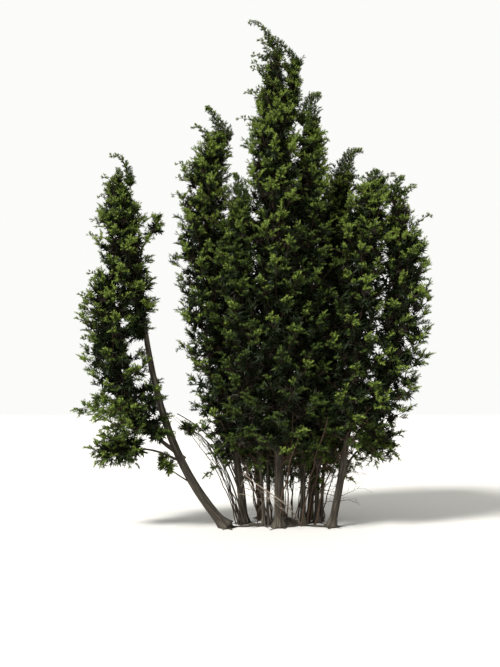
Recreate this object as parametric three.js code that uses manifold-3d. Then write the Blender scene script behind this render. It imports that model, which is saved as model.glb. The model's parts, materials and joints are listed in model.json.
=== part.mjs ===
// Prickly juniper: a clump of upright stems from one root crown, each carrying a narrow flame of foliage.
// Millimetres, +Z up. The ground is z = 0, the origin is under the main stem, and -Y is the front.
import * as THREE from "three";
import { mergeVertices } from "three/addons/utils/BufferGeometryUtils.js";
import Module from "manifold-3d";

const wasm = await Module();
wasm.setup();

// Driving sizes of the whole plant
const clearance = 0.35; // between two pieces that touch
const collarHeight = 150; // where the root crown forks into the stems
const goldenAngle = Math.PI * (3 - Math.sqrt(5));
const lowestRise = 0.1; // climb of the lowest bough of a crown for each unit that it goes out
const highestRise = 1.5; // and of its highest
const heartTier = 212; // between the tiers of plumes of a mass's dense heart
const heartHollow = 0.52; // how far out the heart is between its plumes, as a share of the crown's reach
const heartPlume = 0.82; // and at the points of its plumes
const sprayThickness = 13;
const leftBendHeight = 1350; // the left stem leans to here, then stands up

const bark = new THREE.MeshStandardMaterial({ color: 0x6b5c50, roughness: 0.95, metalness: 0 });
const needles = new THREE.MeshStandardMaterial({ color: 0x3f5f23, roughness: 0.75, metalness: 0 });

// A column is one stem with its crown. line: foot, two handles and top of the stem. girth: radius at the
// foot. from: the stem it forks from, or null for the root crown. lowest: root height of its lowest bough.
// reach: the crown's widest radius. fullness: 1 for a crown that narrows all the way up, 3 for one that
// stays wide. shift: how far its bottom stands off the stem. leader: from the stem's top to its shoot's tip.
const columns = [
  { name: "main", from: null, girth: 56, masses: 3, sprays: 50,
    line: [[0, 0, 0], [0, 0, 2000], [-90, 0, 4000], [-30, 0, 5950]],
    lowest: 700, reach: 620, fullness: 1.1, shift: [30, -80], leader: [-160, 0, 390] },
  { name: "twin", from: "main", girth: 16, masses: 1, sprays: 11,
    line: [[-52, 0, 4560], [50, -40, 4800], [230, -60, 5200], [210, -60, 5780]],
    lowest: 4650, reach: 300, fullness: 1.4, shift: [0, 0], leader: [-190, 0, 300] },
  { name: "front", from: null, girth: 21, masses: 2, sprays: 22,
    line: [[-180, 60, 0], [-190, 20, 1200], [-560, -150, 2300], [-440, -150, 3950]],
    lowest: 800, reach: 420, fullness: 1.8, shift: [0, -60], leader: [-50, 0, 320] },
  { name: "second", from: null, girth: 50, masses: 3, sprays: 32,
    line: [[-420, 250, 0], [-500, 200, 1500], [-1230, 100, 3200], [-700, 100, 4880]],
    lowest: 850, reach: 455, fullness: 2.2, shift: [-40, 0], leader: [-170, 0, 360] },
  { name: "shoulder", from: null, girth: 34, masses: 2, sprays: 24,
    line: [[300, 200, 0], [310, 200, 1600], [330, 60, 3600], [440, 0, 5030]],
    lowest: 850, reach: 450, fullness: 1.5, shift: [40, -160], leader: [60, 0, 340] },
  { name: "dark", from: null, girth: 32, masses: 2, sprays: 18,
    line: [[480, 300, 0], [500, 300, 1400], [560, 350, 3000], [870, 300, 4400]],
    lowest: 950, reach: 440, fullness: 2, shift: [40, 40], leader: [20, 0, 360] },
  { name: "right", from: null, girth: 45, masses: 2, sprays: 25,
    line: [[620, 0, 0], [980, 0, 1500], [930, 0, 2600], [1210, 0, 4160]],
    lowest: 1000, reach: 470, fullness: 2.6, shift: [0, -60], leader: [10, 0, 300] },
  { name: "right_outer", from: "right", girth: 26, masses: 2, sprays: 34,
    line: [[830, 0, 960], [1050, -20, 1150], [1640, -60, 1900], [1440, -60, 4020]],
    lowest: 1080, reach: 450, fullness: 1.7, shift: [80, 0], leader: [40, 0, 280] },
  { name: "left", from: null, girth: 56, masses: 2, sprays: 27,
    line: [[-620, -40, 0], [-1750, -60, 1200], [-1550, -60, 2800], [-1960, -60, 4240]],
    lowest: 2250, reach: 390, fullness: 1.8, shift: [-250, 0], leader: [-100, 0, 310] },
  { name: "left_outer", from: "left", girth: 27, masses: 2, sprays: 29,
    line: [[-1120, -50, 800], [-1400, -60, 1050], [-2230, -80, 1350], [-1980, -60, 3100]],
    lowest: 1060, reach: 440, fullness: 2, shift: [-40, 0], leader: [-40, 0, 280] },
  { name: "back_left", from: null, girth: 38, masses: 2, sprays: 18,
    line: [[-200, 600, 0], [-250, 750, 1300], [-750, 1050, 2600], [-560, 1000, 3950]],
    lowest: 700, reach: 510, fullness: 1.9, shift: [0, 60], leader: [-20, 0, 300] },
  { name: "back_middle", from: null, girth: 42, masses: 2, sprays: 20,
    line: [[60, 640, 0], [20, 800, 1600], [100, 1150, 3200], [100, 1050, 4650]],
    lowest: 700, reach: 540, fullness: 1.7, shift: [0, 80], leader: [0, 20, 320] },
  { name: "back_right", from: null, girth: 40, masses: 2, sprays: 18,
    line: [[420, 580, 0], [500, 700, 1500], [980, 1100, 2700], [860, 1000, 4100]],
    lowest: 700, reach: 530, fullness: 1.9, shift: [60, 60], leader: [20, 0, 300] },
];

// Bare boughs, slender stems and whips. tuft: the reach, length and sprays of the foliage at its end.
const boughs = [
  { name: "left_ground_bough", from: "left", radius: 17, tuft: { reach: 260, length: 540, sprays: 10 },
    line: [[-1120, -60, 760], [-1260, -80, 800], [-1420, -90, 930], [-1660, -100, 920]] },
  { name: "left_side_bough", from: "left", radius: 12, tuft: { reach: 110, length: 240, sprays: 5 },
    line: [[-1700, -50, 3300], [-1650, -55, 3390], [-1600, -60, 3470], [-1560, -60, 3530]] },
  { name: "left_low_twig", from: "left", radius: 12, tuft: { reach: 110, length: 200, sprays: 4 },
    line: [[-860, -50, 400], [-960, -60, 480], [-1120, -70, 560], [-1270, -80, 670]] },
  { name: "long_whip", from: null, radius: 11, tuft: { reach: 90, length: 170, sprays: 4 },
    line: [[-410, 150, 0], [-600, 60, 700], [-760, 60, 980], [-1050, 90, 1130]] },
  { name: "tall_whip", from: null, radius: 11, tuft: null,
    line: [[-370, 180, 0], [-520, 150, 640], [-700, 200, 1060], [-1250, 260, 1330]] },
  { name: "crossing_dead_whip", from: null, radius: 8, tuft: null,
    line: [[265, 145, 0], [140, -200, 330], [-180, -130, 420], [-420, -130, 640]] },
  { name: "front_slender_stem", from: null, radius: 18, tuft: null,
    line: [[-120, 90, 0], [-150, 90, 300], [-110, 80, 700], [-150, 90, 1010]] },
  { name: "dark_slender_stem", from: null, radius: 24, tuft: null,
    line: [[540, 380, 0], [560, 400, 400], [590, 430, 800], [640, 440, 1150]] },
  { name: "right_low_bough", from: "right", radius: 16, tuft: { reach: 300, length: 430, sprays: 10 },
    line: [[790, 10, 620], [840, 60, 780], [950, 110, 900], [1060, 150, 930]] },
];

// A repeatable number from 0 to 1 for a plant part and one of its traits.
function chance(part, trait) {
  const wave = Math.sin(part * 127.1 + trait * 311.7) * 43758.5453;
  return wave - Math.floor(wave);
}

function curveOf(line) {
  return new THREE.CubicBezierCurve3(...line.map((p) => new THREE.Vector3(...p)));
}

// Share of a curve at which it reaches a height.
function shareAtHeight(curve, height) {
  let low = 0;
  let high = 1;
  for (let i = 0; i < 24; i++) {
    const middle = (low + high) / 2;
    if (curve.getPoint(middle).z < height) low = middle;
    else high = middle;
  }
  return (low + high) / 2;
}

function solidOf(geometry) {
  const bare = geometry.index ? geometry.toNonIndexed() : geometry.clone();
  bare.deleteAttribute("normal");
  bare.deleteAttribute("uv");
  const merged = mergeVertices(bare, 1e-3);
  return new wasm.Manifold(new wasm.Mesh({
    numProp: 3,
    vertProperties: merged.attributes.position.array,
    triVerts: new Uint32Array(merged.index.array),
  }));
}

function meshOf(name, solid, material) {
  const { vertProperties, triVerts } = solid.getMesh();
  const geometry = new THREE.BufferGeometry();
  geometry.setAttribute("position", new THREE.BufferAttribute(vertProperties, 3));
  geometry.setIndex(new THREE.BufferAttribute(triVerts, 1));
  geometry.computeVertexNormals();
  const mesh = new THREE.Mesh(geometry, material);
  mesh.name = name;
  return mesh;
}

// The largest connected body of a solid, without its loose scraps.
function wholeOf(solid) {
  return solid.decompose().reduce((best, body) => (body.volume() > best.volume() ? body : best));
}

function boxesMeet(a, b) {
  return [0, 1, 2].every((k) => a.min[k] - 1 < b.max[k] && b.min[k] - 1 < a.max[k]);
}

// What is left of a solid when the limbs that run through it are taken out.
function cutClear(solid, limbs) {
  const box = solid.boundingBox();
  const near = limbs.filter((other) => boxesMeet(box, other.boundingBox()));
  return wholeOf(near.length ? solid.subtract(wasm.Manifold.union(near)) : solid);
}

// A limb along a curve, from one share of it to another. radiusAt takes that share, and extra makes the
// limb fuller on every side.
function limb(curve, from, to, radiusAt, sides = 7, steps = 6, extra = 0) {
  const geometry = new THREE.CylinderGeometry(1, 1, 1, sides, steps);
  const chord = curve.getPoint(1).sub(curve.getPoint(0)).normalize();
  const reference = Math.abs(chord.x) > 0.7 ? new THREE.Vector3(0, 1, 0) : new THREE.Vector3(1, 0, 0);
  const position = geometry.attributes.position;
  for (let i = 0; i < position.count; i++) {
    const level = position.getY(i) + 0.5;
    const share = THREE.MathUtils.lerp(from, to, level);
    const along = curve.getTangent(share);
    const side = reference.clone().addScaledVector(along, -reference.dot(along)).normalize();
    const front = side.clone().cross(along);
    const point = curve.getPoint(share);
    const pastEnd = extra * (Number(level > 0.999) - Number(level < 0.001));
    const radius = radiusAt(share) + extra;
    point.addScaledVector(side, position.getX(i) * radius).addScaledVector(front, position.getZ(i) * radius);
    point.addScaledVector(along, pastEnd);
    position.setXYZ(i, point.x, point.y, point.z);
  }
  return solidOf(geometry);
}

// The growth rule of a crown. Its heights are those of bough roots on the stem, and a bough climbs as it
// goes out, so a crown is a stack of cups round the stem.
for (const column of columns) {
  const [foot, top] = [column.line[0][2], column.line[3][2]];
  const samples = 80;
  column.curve = curveOf(column.line);
  column.top = top;
  column.axis = Array.from({ length: samples + 1 }, (_, i) =>
    column.curve.getPoint(shareAtHeight(column.curve, foot + ((top - foot) * i) / samples)));
  const crownLength = top - column.lowest;
  column.shareAt = (height) => THREE.MathUtils.clamp((height - column.lowest) / crownLength, 0, 0.99);
  column.axisAt = (height) => {
    const place = THREE.MathUtils.clamp((height - foot) / (top - foot), 0, 1) * samples;
    const index = Math.min(Math.floor(place), samples - 1);
    const point = column.axis[index].clone().lerp(column.axis[index + 1], place - index);
    const off = Math.sqrt(1 - column.shareAt(height));
    return new THREE.Vector2(point.x + column.shift[0] * off, point.y + column.shift[1] * off);
  };
  column.reachAt = (height) => {
    const share = column.shareAt(height);
    return column.reach * Math.min(1, 0.75 + share * 2) * Math.sqrt(1 - share ** column.fullness);
  };
  column.riseAt = (height) => THREE.MathUtils.lerp(lowestRise, highestRise, column.shareAt(height) ** 0.7);
  // How far out a point lies in this crown: 0 on its axis, 1 on its outline.
  column.depthOf = (point) => {
    const flat = new THREE.Vector2(point.x, point.y);
    let height = point.z;
    for (let pass = 0; pass < 4; pass++)
      height = point.z - column.riseAt(height) * flat.distanceTo(column.axisAt(height));
    const below = Math.max(0, column.lowest - height) / 300;
    return flat.distanceTo(column.axisAt(height)) / column.reachAt(height) + below;
  };
}

// The foliage of a bough goes on from the bough's last stretch.
for (const bough of boughs) {
  bough.curve = curveOf(bough.line);
  if (!bough.tuft) continue;
  const end = bough.curve.getPoint(1);
  const tip = end.clone().addScaledVector(bough.curve.getTangent(1), bough.tuft.length);
  bough.tuft.segment = new THREE.Line3(end, tip);
  bough.tuft.depthOf = (point) => {
    const nearest = bough.tuft.segment.closestPointToPoint(point, true, new THREE.Vector3());
    return nearest.distanceTo(point) / bough.tuft.reach;
  };
}

const crowns = [...columns, ...boughs.filter((bough) => bough.tuft).map((bough) => bough.tuft)];

// Whether a point lies in this crown's own space, deeper than in any other.
function ownsPoint(crown, point) {
  const margin = 0.04;
  const depth = crown.depthOf(point);
  return crowns.every((other) => other === crown || depth + margin < other.depthOf(point));
}

// A point of a crown: root height, distance out from the axis and direction round it.
function crownPoint(column, height, out, azimuth) {
  const axis = column.axisAt(height);
  const [x, y] = [axis.x + out * Math.cos(azimuth), axis.y + out * Math.sin(azimuth)];
  return new THREE.Vector3(x, y, height + column.riseAt(height) * out);
}

// How far a bough can go out before it meets a neighbour's space.
function roomFor(column, height, azimuth) {
  const step = 20;
  const widest = column.reachAt(height) * 1.2;
  for (let out = step; out < widest; out += step)
    if (!ownsPoint(column, crownPoint(column, height, out, azimuth))) return out - step;
  return widest;
}

function stemRadius(column, share) {
  const tipRadius = 7;
  return tipRadius + (column.girth - tipRadius) * (1 - share) ** 0.85;
}

// A stretch of a stem between two heights.
function stretchOf(column, lowHeight, highHeight, extra = 0) {
  const from = shareAtHeight(column.curve, lowHeight);
  const to = shareAtHeight(column.curve, highHeight);
  return limb(column.curve, from, to, (share) => stemRadius(column, share), 7, 6, extra);
}

// Stems go from the collar, or from the side of the stem that they fork from, to their tops. space: the
// stem with the clearance round it that other pieces keep.
const stems = columns.flatMap((column) => {
  const low = column.from ? column.line[0][2] : collarHeight + clearance;
  const bend = leftBendHeight;
  const stretches = column.name === "left"
    ? [["left_stem_leaning", low, bend], ["left_stem_upright", bend + clearance, column.top]]
    : [[`${column.name}_stem`, low, column.top]];
  return stretches.map(([name, from, to]) => ({
    name,
    column,
    solid: stretchOf(column, from, to),
    space: stretchOf(column, from, to, clearance),
  }));
});

// What is left of a limb outside the stem that carries it.
function cutFromCarrier(solid, carrierName) {
  const spaces = stems.filter((stem) => stem.column.name === carrierName).map((stem) => stem.space);
  return spaces.length ? wholeOf(solid.subtract(wasm.Manifold.union(spaces))) : solid;
}
for (const stem of stems) stem.solid = cutFromCarrier(stem.solid, stem.column.from);

function boughSolid(bough, extra = 0) {
  const from = bough.from ? 0 : shareAtHeight(bough.curve, collarHeight + clearance);
  const whole = limb(bough.curve, from, 1, (share) => bough.radius * (1 - 0.45 * share), 6, 5, extra);
  return cutFromCarrier(whole, bough.from);
}

// Root crown: flared feet joined by low ridges to the middle of the clump, cut flat at the ground.
function rootCrownSolid() {
  const middle = new THREE.Vector3(60, 190, 0);
  const pieces = [];
  const feet = [...columns.filter((column) => !column.from), ...boughs.filter((bough) => !bough.from)];
  for (const foot of feet) {
    const girth = foot.girth ?? foot.radius;
    const radiusAt = foot.girth ? (share) => stemRadius(foot, share) : (share) => girth * (1 - 0.45 * share);
    const to = shareAtHeight(foot.curve, collarHeight);
    const flare = (share) => radiusAt(share) * (1 + 0.9 * (1 - share / to) ** 2);
    pieces.push(limb(foot.curve, 0, to, flare, foot.girth ? 7 : 5, 2));
    if (!foot.girth) continue;
    const buried = 20;
    const base = foot.curve.getPoint(0);
    const inward = middle.clone().lerp(base, 90 / middle.distanceTo(base)).setZ(-buried);
    const ridge = new THREE.LineCurve3(base.setZ(-buried).lerp(inward, -0.03), inward);
    pieces.push(limb(ridge, 0, 1, (share) => THREE.MathUtils.lerp(girth + 18, 60, share), 5, 1));
  }
  const stool = new THREE.CylinderGeometry(100, 210, 160, 9).rotateX(Math.PI / 2);
  pieces.push(solidOf(stool.translate(middle.x, middle.y, 0)));
  const ground = new THREE.BoxGeometry(6000, 6000, 400).translate(0, 0, -200);
  return wholeOf(wasm.Manifold.union(pieces).subtract(solidOf(ground)));
}

// A spray of needles: a thin blade with a long tip and a tooth on each side, thickest in its middle.
function spray(root, tip, roll, width) {
  const outline = [[1, 0], [0.7, 0.12], [0.74, 0.5], [0, 0], [0.74, -0.5], [0.7, -0.12]];
  const profile = [[0, -0.5], [1, 0], [0, 0.5]].map(([out, up]) => new THREE.Vector2(out, up));
  const geometry = new THREE.LatheGeometry(profile, outline.length);
  const along = tip.clone().sub(root);
  const level = new THREE.Vector3(0, 0, 1).cross(along).normalize();
  const across = level.applyAxisAngle(along.clone().normalize(), roll);
  const normal = along.clone().cross(across).normalize();
  const position = geometry.attributes.position;
  const rim = [];
  for (let i = 0; i < position.count; i++) {
    const onRim = Math.hypot(position.getX(i), position.getZ(i)) > 0.5;
    const turn = Math.atan2(position.getX(i), position.getZ(i)) / (2 * Math.PI);
    const corner = Math.round((turn + 1) * outline.length) % outline.length;
    const [forward, sideways] = onRim ? outline[corner] : [0.6, 0];
    const point = root.clone().addScaledVector(along, forward);
    point.addScaledVector(across, sideways * width);
    point.addScaledVector(normal, position.getY(i) * sprayThickness);
    position.setXYZ(i, point.x, point.y, point.z);
    if (onRim) rim.push(point);
  }
  return { solid: solidOf(geometry), rim };
}

// The dense heart of a mass between two tiers of its column: plumes on every second place of each tier,
// those of the next tier between them. It ends where a neighbour's space begins.
function heartSolid(column, first, last, isTop, extra = 0, lift = 0) {
  const sides = 8;
  const foldParity = 0;
  const seam = 8;
  const number = columns.indexOf(column);
  const stemTop = column.curve.getPoint(1);
  const geometry = new THREE.CylinderGeometry(1, 1, 1, sides, last - first);
  const position = geometry.attributes.position;
  for (let i = 0; i < position.count; i++) {
    const tier = last - Math.round((0.5 - position.getY(i)) * (last - first));
    const turn = Math.atan2(-position.getZ(i), position.getX(i)) / (2 * Math.PI);
    const side = Math.round((turn + 1) * sides) % sides;
    const seed = number * 400 + tier * sides + side;
    const isPlume = (side + tier) % 2 === 0;
    const atEnd = tier === first || tier === last;
    const height = Math.min(column.lowest + tier * column.tier, column.top - 60);
    const azimuth = ((side + 0.5 * (chance(seed, 6) - 0.5)) / sides) * 2 * Math.PI;
    const share = (isPlume ? heartPlume : heartHollow) * (0.88 + 0.24 * chance(seed, 7));
    const onSide = Math.hypot(position.getX(i), position.getZ(i)) > 0.5;
    const out = Math.min(share * column.reachAt(height), 0.95 * roomFor(column, height, azimuth));
    const point = crownPoint(column, height, onSide ? out : 0, azimuth);
    if (!atEnd) point.z += column.tier * ((isPlume ? 0.4 : 0) + 0.3 * (chance(seed, 8) - 0.5));
    else if (tier === 0) point.z += onSide ? 160 * (chance(seed, 8) - 0.5) : 0;
    else if (!isTop || tier === first) point.z += tier === first ? seam : -seam;
    if (isTop && tier === last && !onSide) point.copy(stemTop).addScaledVector(column.shoot, 0.4);
    const [moreX, moreY] = onSide ? [extra * Math.cos(azimuth), extra * Math.sin(azimuth)] : [0, 0];
    position.setXYZ(i, point.x + moreX, point.y + moreY, point.z + lift);
  }
  // Each face of the side is folded between its two hollows, so that every plume stands alone.
  const corners = geometry.index;
  for (let place = 0; place < sides * (last - first); place++) {
    const [side, tier] = [Math.floor(place / (last - first)), last - (place % (last - first))];
    if ((side + tier) % 2 !== foldParity) continue;
    const [a, c, d] = [0, 4, 5].map((k) => corners.getX(place * 6 + k));
    [a, corners.getX(place * 6 + 1), c, a, c, d].forEach((corner, k) => corners.setX(place * 6 + k, corner));
  }
  return solidOf(geometry);
}

// The boughlets of a column by their order: where each roots, which way it heads and how far it goes.
function sprayPlan(column, index) {
  const seed = columns.indexOf(column) * 200 + index;
  const height = THREE.MathUtils.lerp(column.lowest, column.top, ((index + 0.5) / column.sprays) * 0.97);
  const azimuth = index * goldenAngle + columns.indexOf(column) * 1.3;
  const wish = column.reachAt(height) * (0.96 + 0.24 * chance(seed, 1));
  return { height, azimuth, seed, wish };
}

// A branchlet that carries a mass which stands off its stem.
function footSolid(mass) {
  const { column, low, high } = mass;
  const height = THREE.MathUtils.lerp(low, high, 0.35);
  const stem = column.curve.getPoint(shareAtHeight(column.curve, height));
  const axis = column.axisAt(height);
  const inside = new THREE.Vector3(axis.x, axis.y, height + 60);
  if (stem.distanceTo(inside) < 120) return null;
  return limb(new THREE.LineCurve3(stem, inside), 0, 1, (share) => 20 - 8 * share, 5, 1);
}

// The spaces of every limb, which foliage has to stay out of.
const boughSpaces = boughs.map((bough) => boughSolid(bough, clearance));
const limbSpaces = [...stems.map((stem) => stem.space), ...boughSpaces];

const masses = [];
for (const column of columns) {
  const levels = { 1: [""], 2: ["_lower", "_upper"], 3: ["_lower", "_middle", "_upper"] }[column.masses];
  const tiers = Math.round((column.top - column.lowest) / heartTier);
  column.tier = (column.top - column.lowest) / tiers;
  column.shoot = new THREE.Vector3(...column.leader);
  const neighbours = masses.flatMap((mass) => mass.heartSpaces);
  levels.forEach((level, i) => {
    const first = Math.round((i * tiers) / levels.length);
    const last = Math.round(((i + 1) * tiers) / levels.length);
    const [low, high] = [column.lowest + first * column.tier, column.lowest + last * column.tier];
    const isTop = i === levels.length - 1;
    const heart = cutClear(heartSolid(column, first, last, isTop), neighbours);
    const moves = [[3, -3], [3, 3], [0, -3], [0, 3]];
    const heartSpaces = moves.map(([extra, lift]) => heartSolid(column, first, last, isTop, extra, lift));
    const name = `${column.name}_foliage${level}`;
    masses.push({ name, column, low, high, isTop, heartSpaces, pieces: [heart] });
  });
}

// Fuses a piece to its mass if it stays clear of every limb and of the other masses.
const placed = [];
function place(mass, solid) {
  placed.push({ solid, mass, box: solid.boundingBox() });
}
limbSpaces.forEach((space) => place(null, space));
masses.forEach((mass) => mass.pieces.forEach((piece) => place(mass, piece)));
function grow(mass, solid, around = placed) {
  const box = solid.boundingBox();
  const near = around.filter((other) => other.mass !== mass && boxesMeet(box, other.box));
  if (near.some((other) => solid.minGap(other.solid, 1) < clearance)) return;
  mass.pieces.push(solid);
  place(mass, solid);
}

for (const mass of masses) {
  const foot = footSolid(mass);
  if (foot) grow(mass, foot, placed.filter((other) => other.mass));
}

for (const mass of masses) {
  const { column } = mass;
  if (mass.isTop) {
    const top = column.curve.getPoint(1);
    const tip = top.clone().add(column.shoot);
    const root = top.clone().lerp(tip, 0.12);
    grow(mass, spray(root, tip, 0.4, 100).solid);
    grow(mass, spray(root, tip.clone().lerp(top, 0.25), 1.9, 120).solid);
  }
  for (let index = 0; index < column.sprays; index++) {
    const { height, azimuth, seed, wish } = sprayPlan(column, index);
    if (height < mass.low || height >= mass.high) continue;
    const out = Math.min(wish, roomFor(column, height, azimuth) * 0.97);
    const rooted = column.reachAt(height) * heartHollow * 0.75;
    if (out < rooted * 1.8) continue;
    const root = crownPoint(column, height, rooted, azimuth);
    const tip = crownPoint(column, height, out, azimuth);
    const width = Math.min(300, root.distanceTo(tip) * 0.65);
    const grownSpray = spray(root, tip, chance(seed, 3) * Math.PI, width);
    if (grownSpray.rim.every((point) => ownsPoint(column, point))) grow(mass, grownSpray.solid);
  }
}

// The foliage at the end of a bare bough: its stem goes on, with sprays all round it.
function tuftSolid(bough) {
  const { segment, reach, sprays } = bough.tuft;
  const start = segment.start.clone().addScaledVector(bough.curve.getTangent(1), clearance);
  const axis = new THREE.LineCurve3(start, segment.end.clone().lerp(start, 0.3));
  const pieces = [limb(axis, 0, 1, (share) => bough.radius * 0.55 * (1 - 0.5 * share), 5, 1)];
  const along = axis.getTangent(0);
  const side = new THREE.Vector3(0, 0, 1).cross(along).normalize();
  const up = along.clone().cross(side);
  for (let index = 0; index < sprays; index++) {
    const share = (index + 0.5) / sprays;
    const turn = index * goldenAngle;
    const outward = side.clone().multiplyScalar(Math.cos(turn)).addScaledVector(up, Math.sin(turn));
    const root = axis.getPoint(share * 0.93);
    const sideways = reach * (0.95 - 0.4 * share);
    const tip = root.clone().addScaledVector(outward, sideways).addScaledVector(along, reach * 0.8);
    pieces.push(spray(root, index === sprays - 1 ? segment.end : tip, turn * 2, reach * 0.55).solid);
  }
  return wasm.Manifold.union(pieces);
}

const juniper = new THREE.Group();
juniper.add(meshOf("root_crown", rootCrownSolid(), bark));
for (const stem of stems) juniper.add(meshOf(stem.name, stem.solid, bark));
for (const bough of boughs) juniper.add(meshOf(bough.name, boughSolid(bough), bark));
for (const mass of masses) {
  mass.solid = cutClear(wasm.Manifold.union(mass.pieces), limbSpaces);
  juniper.add(meshOf(mass.name, mass.solid, needles));
}
for (const bough of boughs.filter((b) => b.tuft)) {
  const ownSpace = boughSpaces[boughs.indexOf(bough)];
  const around = [...limbSpaces.filter((space) => space !== ownSpace), ...masses.map((mass) => mass.solid)];
  juniper.add(meshOf(`${bough.name}_foliage`, cutClear(tuftSolid(bough), around), needles));
}

export default juniper;
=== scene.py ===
import json
import math

import bpy
import numpy as np
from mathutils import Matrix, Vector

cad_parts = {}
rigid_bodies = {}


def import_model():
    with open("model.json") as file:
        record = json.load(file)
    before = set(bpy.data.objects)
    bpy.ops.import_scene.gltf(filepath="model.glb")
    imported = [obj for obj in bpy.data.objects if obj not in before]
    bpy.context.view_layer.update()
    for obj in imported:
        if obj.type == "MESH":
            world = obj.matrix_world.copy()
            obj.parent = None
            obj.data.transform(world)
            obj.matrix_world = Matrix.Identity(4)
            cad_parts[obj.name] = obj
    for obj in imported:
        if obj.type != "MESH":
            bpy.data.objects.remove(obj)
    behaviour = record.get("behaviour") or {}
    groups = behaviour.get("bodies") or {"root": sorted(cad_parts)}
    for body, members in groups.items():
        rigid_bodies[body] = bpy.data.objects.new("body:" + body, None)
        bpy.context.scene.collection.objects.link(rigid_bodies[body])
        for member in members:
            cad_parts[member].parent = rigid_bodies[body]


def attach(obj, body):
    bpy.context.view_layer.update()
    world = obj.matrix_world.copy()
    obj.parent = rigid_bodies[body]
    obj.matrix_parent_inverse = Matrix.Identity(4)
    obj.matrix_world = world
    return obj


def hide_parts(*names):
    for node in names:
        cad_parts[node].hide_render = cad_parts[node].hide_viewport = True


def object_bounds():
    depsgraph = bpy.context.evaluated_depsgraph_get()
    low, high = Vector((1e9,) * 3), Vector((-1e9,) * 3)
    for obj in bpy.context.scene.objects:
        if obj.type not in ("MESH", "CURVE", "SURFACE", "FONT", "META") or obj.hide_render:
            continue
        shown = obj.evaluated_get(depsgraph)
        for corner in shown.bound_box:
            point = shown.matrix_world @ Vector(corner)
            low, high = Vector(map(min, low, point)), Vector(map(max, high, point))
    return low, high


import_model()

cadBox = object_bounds()
boxLow, boxHigh = (np.array(corner) for corner in cadBox)
mm = 0.001
up = np.array([0.0, 0.0, 1.0])
goldenAngle = math.pi * (3 - math.sqrt(5))
# Seeds of the random draws. Crowns, tufts, stems, boughs and dead twigs are counted on from theirs.
seeds = {
    "crowns": 1000,
    "tufts": 2000,
    "sprayTurns": 7,
    "stems": 50,
    "boughs": 90,
    "rootCrown": 12,
    "deadTwigs": 31,
    "whips": 58,
    "slenderStems": 77,
}

# A standing eye on level ground, looking slightly up.
cameraSetup = {
    "place": (-0.344, -8.198, 1.5),
    "tiltUp": 5.63,  # degrees
    "frame": (500, 667),
    "focalLength": 675,  # in the frame's own pixels
}


def makeCamera():
    data = bpy.data.cameras.new("eye")
    camera = bpy.data.objects.new("eye", data)
    bpy.context.collection.objects.link(camera)
    data.lens = data.sensor_width * cameraSetup["focalLength"] / max(cameraSetup["frame"])
    camera.location = cameraSetup["place"]
    camera.rotation_euler = (math.radians(90 + cameraSetup["tiltUp"]), 0, 0)
    bpy.context.scene.camera = camera


makeCamera()


# Materials. A colour is sRGB hex, turned to linear by the standard curve.
def linearColour(text):
    parts = [int(text[i:i + 2], 16) / 255 for i in (1, 3, 5)]
    return [p / 12.92 if p <= 0.04045 else ((p + 0.055) / 1.055) ** 2.4 for p in parts] + [1]


def addNode(tree, kind, settings={}, inputs={}):
    node = tree.nodes.new(kind)
    for name, value in settings.items():
        setattr(node, name, value)
    for name, value in inputs.items():
        if isinstance(value, bpy.types.NodeSocket):
            tree.links.new(value, node.inputs[name])
        else:
            node.inputs[name].default_value = value
    return node


def plainMaterial(name, colour, roughness, ior):
    material = bpy.data.materials.new(name)
    material.use_nodes = True
    shader = material.node_tree.nodes["Principled BSDF"]
    shader.inputs["Base Color"].default_value = linearColour(colour)
    shader.inputs["Roughness"].default_value = roughness
    shader.inputs["IOR"].default_value = ior
    return material


# Live juniper needles, waxy on the upper face: a dull gloss over an even green, one green for each spray.
# The greens also hold painted light and shade: the fresh green stands for lit sprays too, and the shaded
# and inner greens are painted shade.
needleColours = {
    # painted light as well: sprays toned lighter at tops, upper sides and lobes take this green
    "freshNeedlesAndPaintedLight": "#6c7d33",  # this year's shoots, yellow-green
    "grownNeedles": "#3f4e1a",
    "shadedNeedles": "#26330f",
    # painted shade: the green of needles deep in the crown and in the valleys between crowns
    "paintedShadeInnerNeedles": "#1a240e",  # never in the sun
    "oldNeedles": "#1e1810",  # inner needles turning brown before they drop
}
needleFinish = {"roughness": 0.6, "ior": 1.26}


def needleMaterials():
    return [plainMaterial(name, colour, **needleFinish) for name, colour in needleColours.items()]


# Juniper bark: thin grey-brown strips that peel lengthwise and show redder bark in the gaps. All its
# colours are darkened as painted shade for the shaded trunks, and the gaps, low in the relief, are near
# black as painted shade in the crevices. It gives the eye a dull, fibrous, streaky surface. The strips
# follow the limb by its own map, in metres.
barkLook = {
    "strip": "#575146",
    "weathered": "#332d24",
    # painted shade in the crevices between strips, over the redder bark
    "gap": "#17130d",
    "stripWidth": 26 * mm,
    "stripLength": 260 * mm,
    "fibreWidth": 9 * mm,  # drawn coarser than life, so that it shows
    "relief": 6 * mm,
    "bump": 0.7,
    "roughness": 0.92,
    "ior": 1.4,
    "gapBelow": 0.16,  # heights in the noise where each colour is full
    "weatheredAt": 0.26,
    "stripAbove": 0.38,
}


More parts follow.
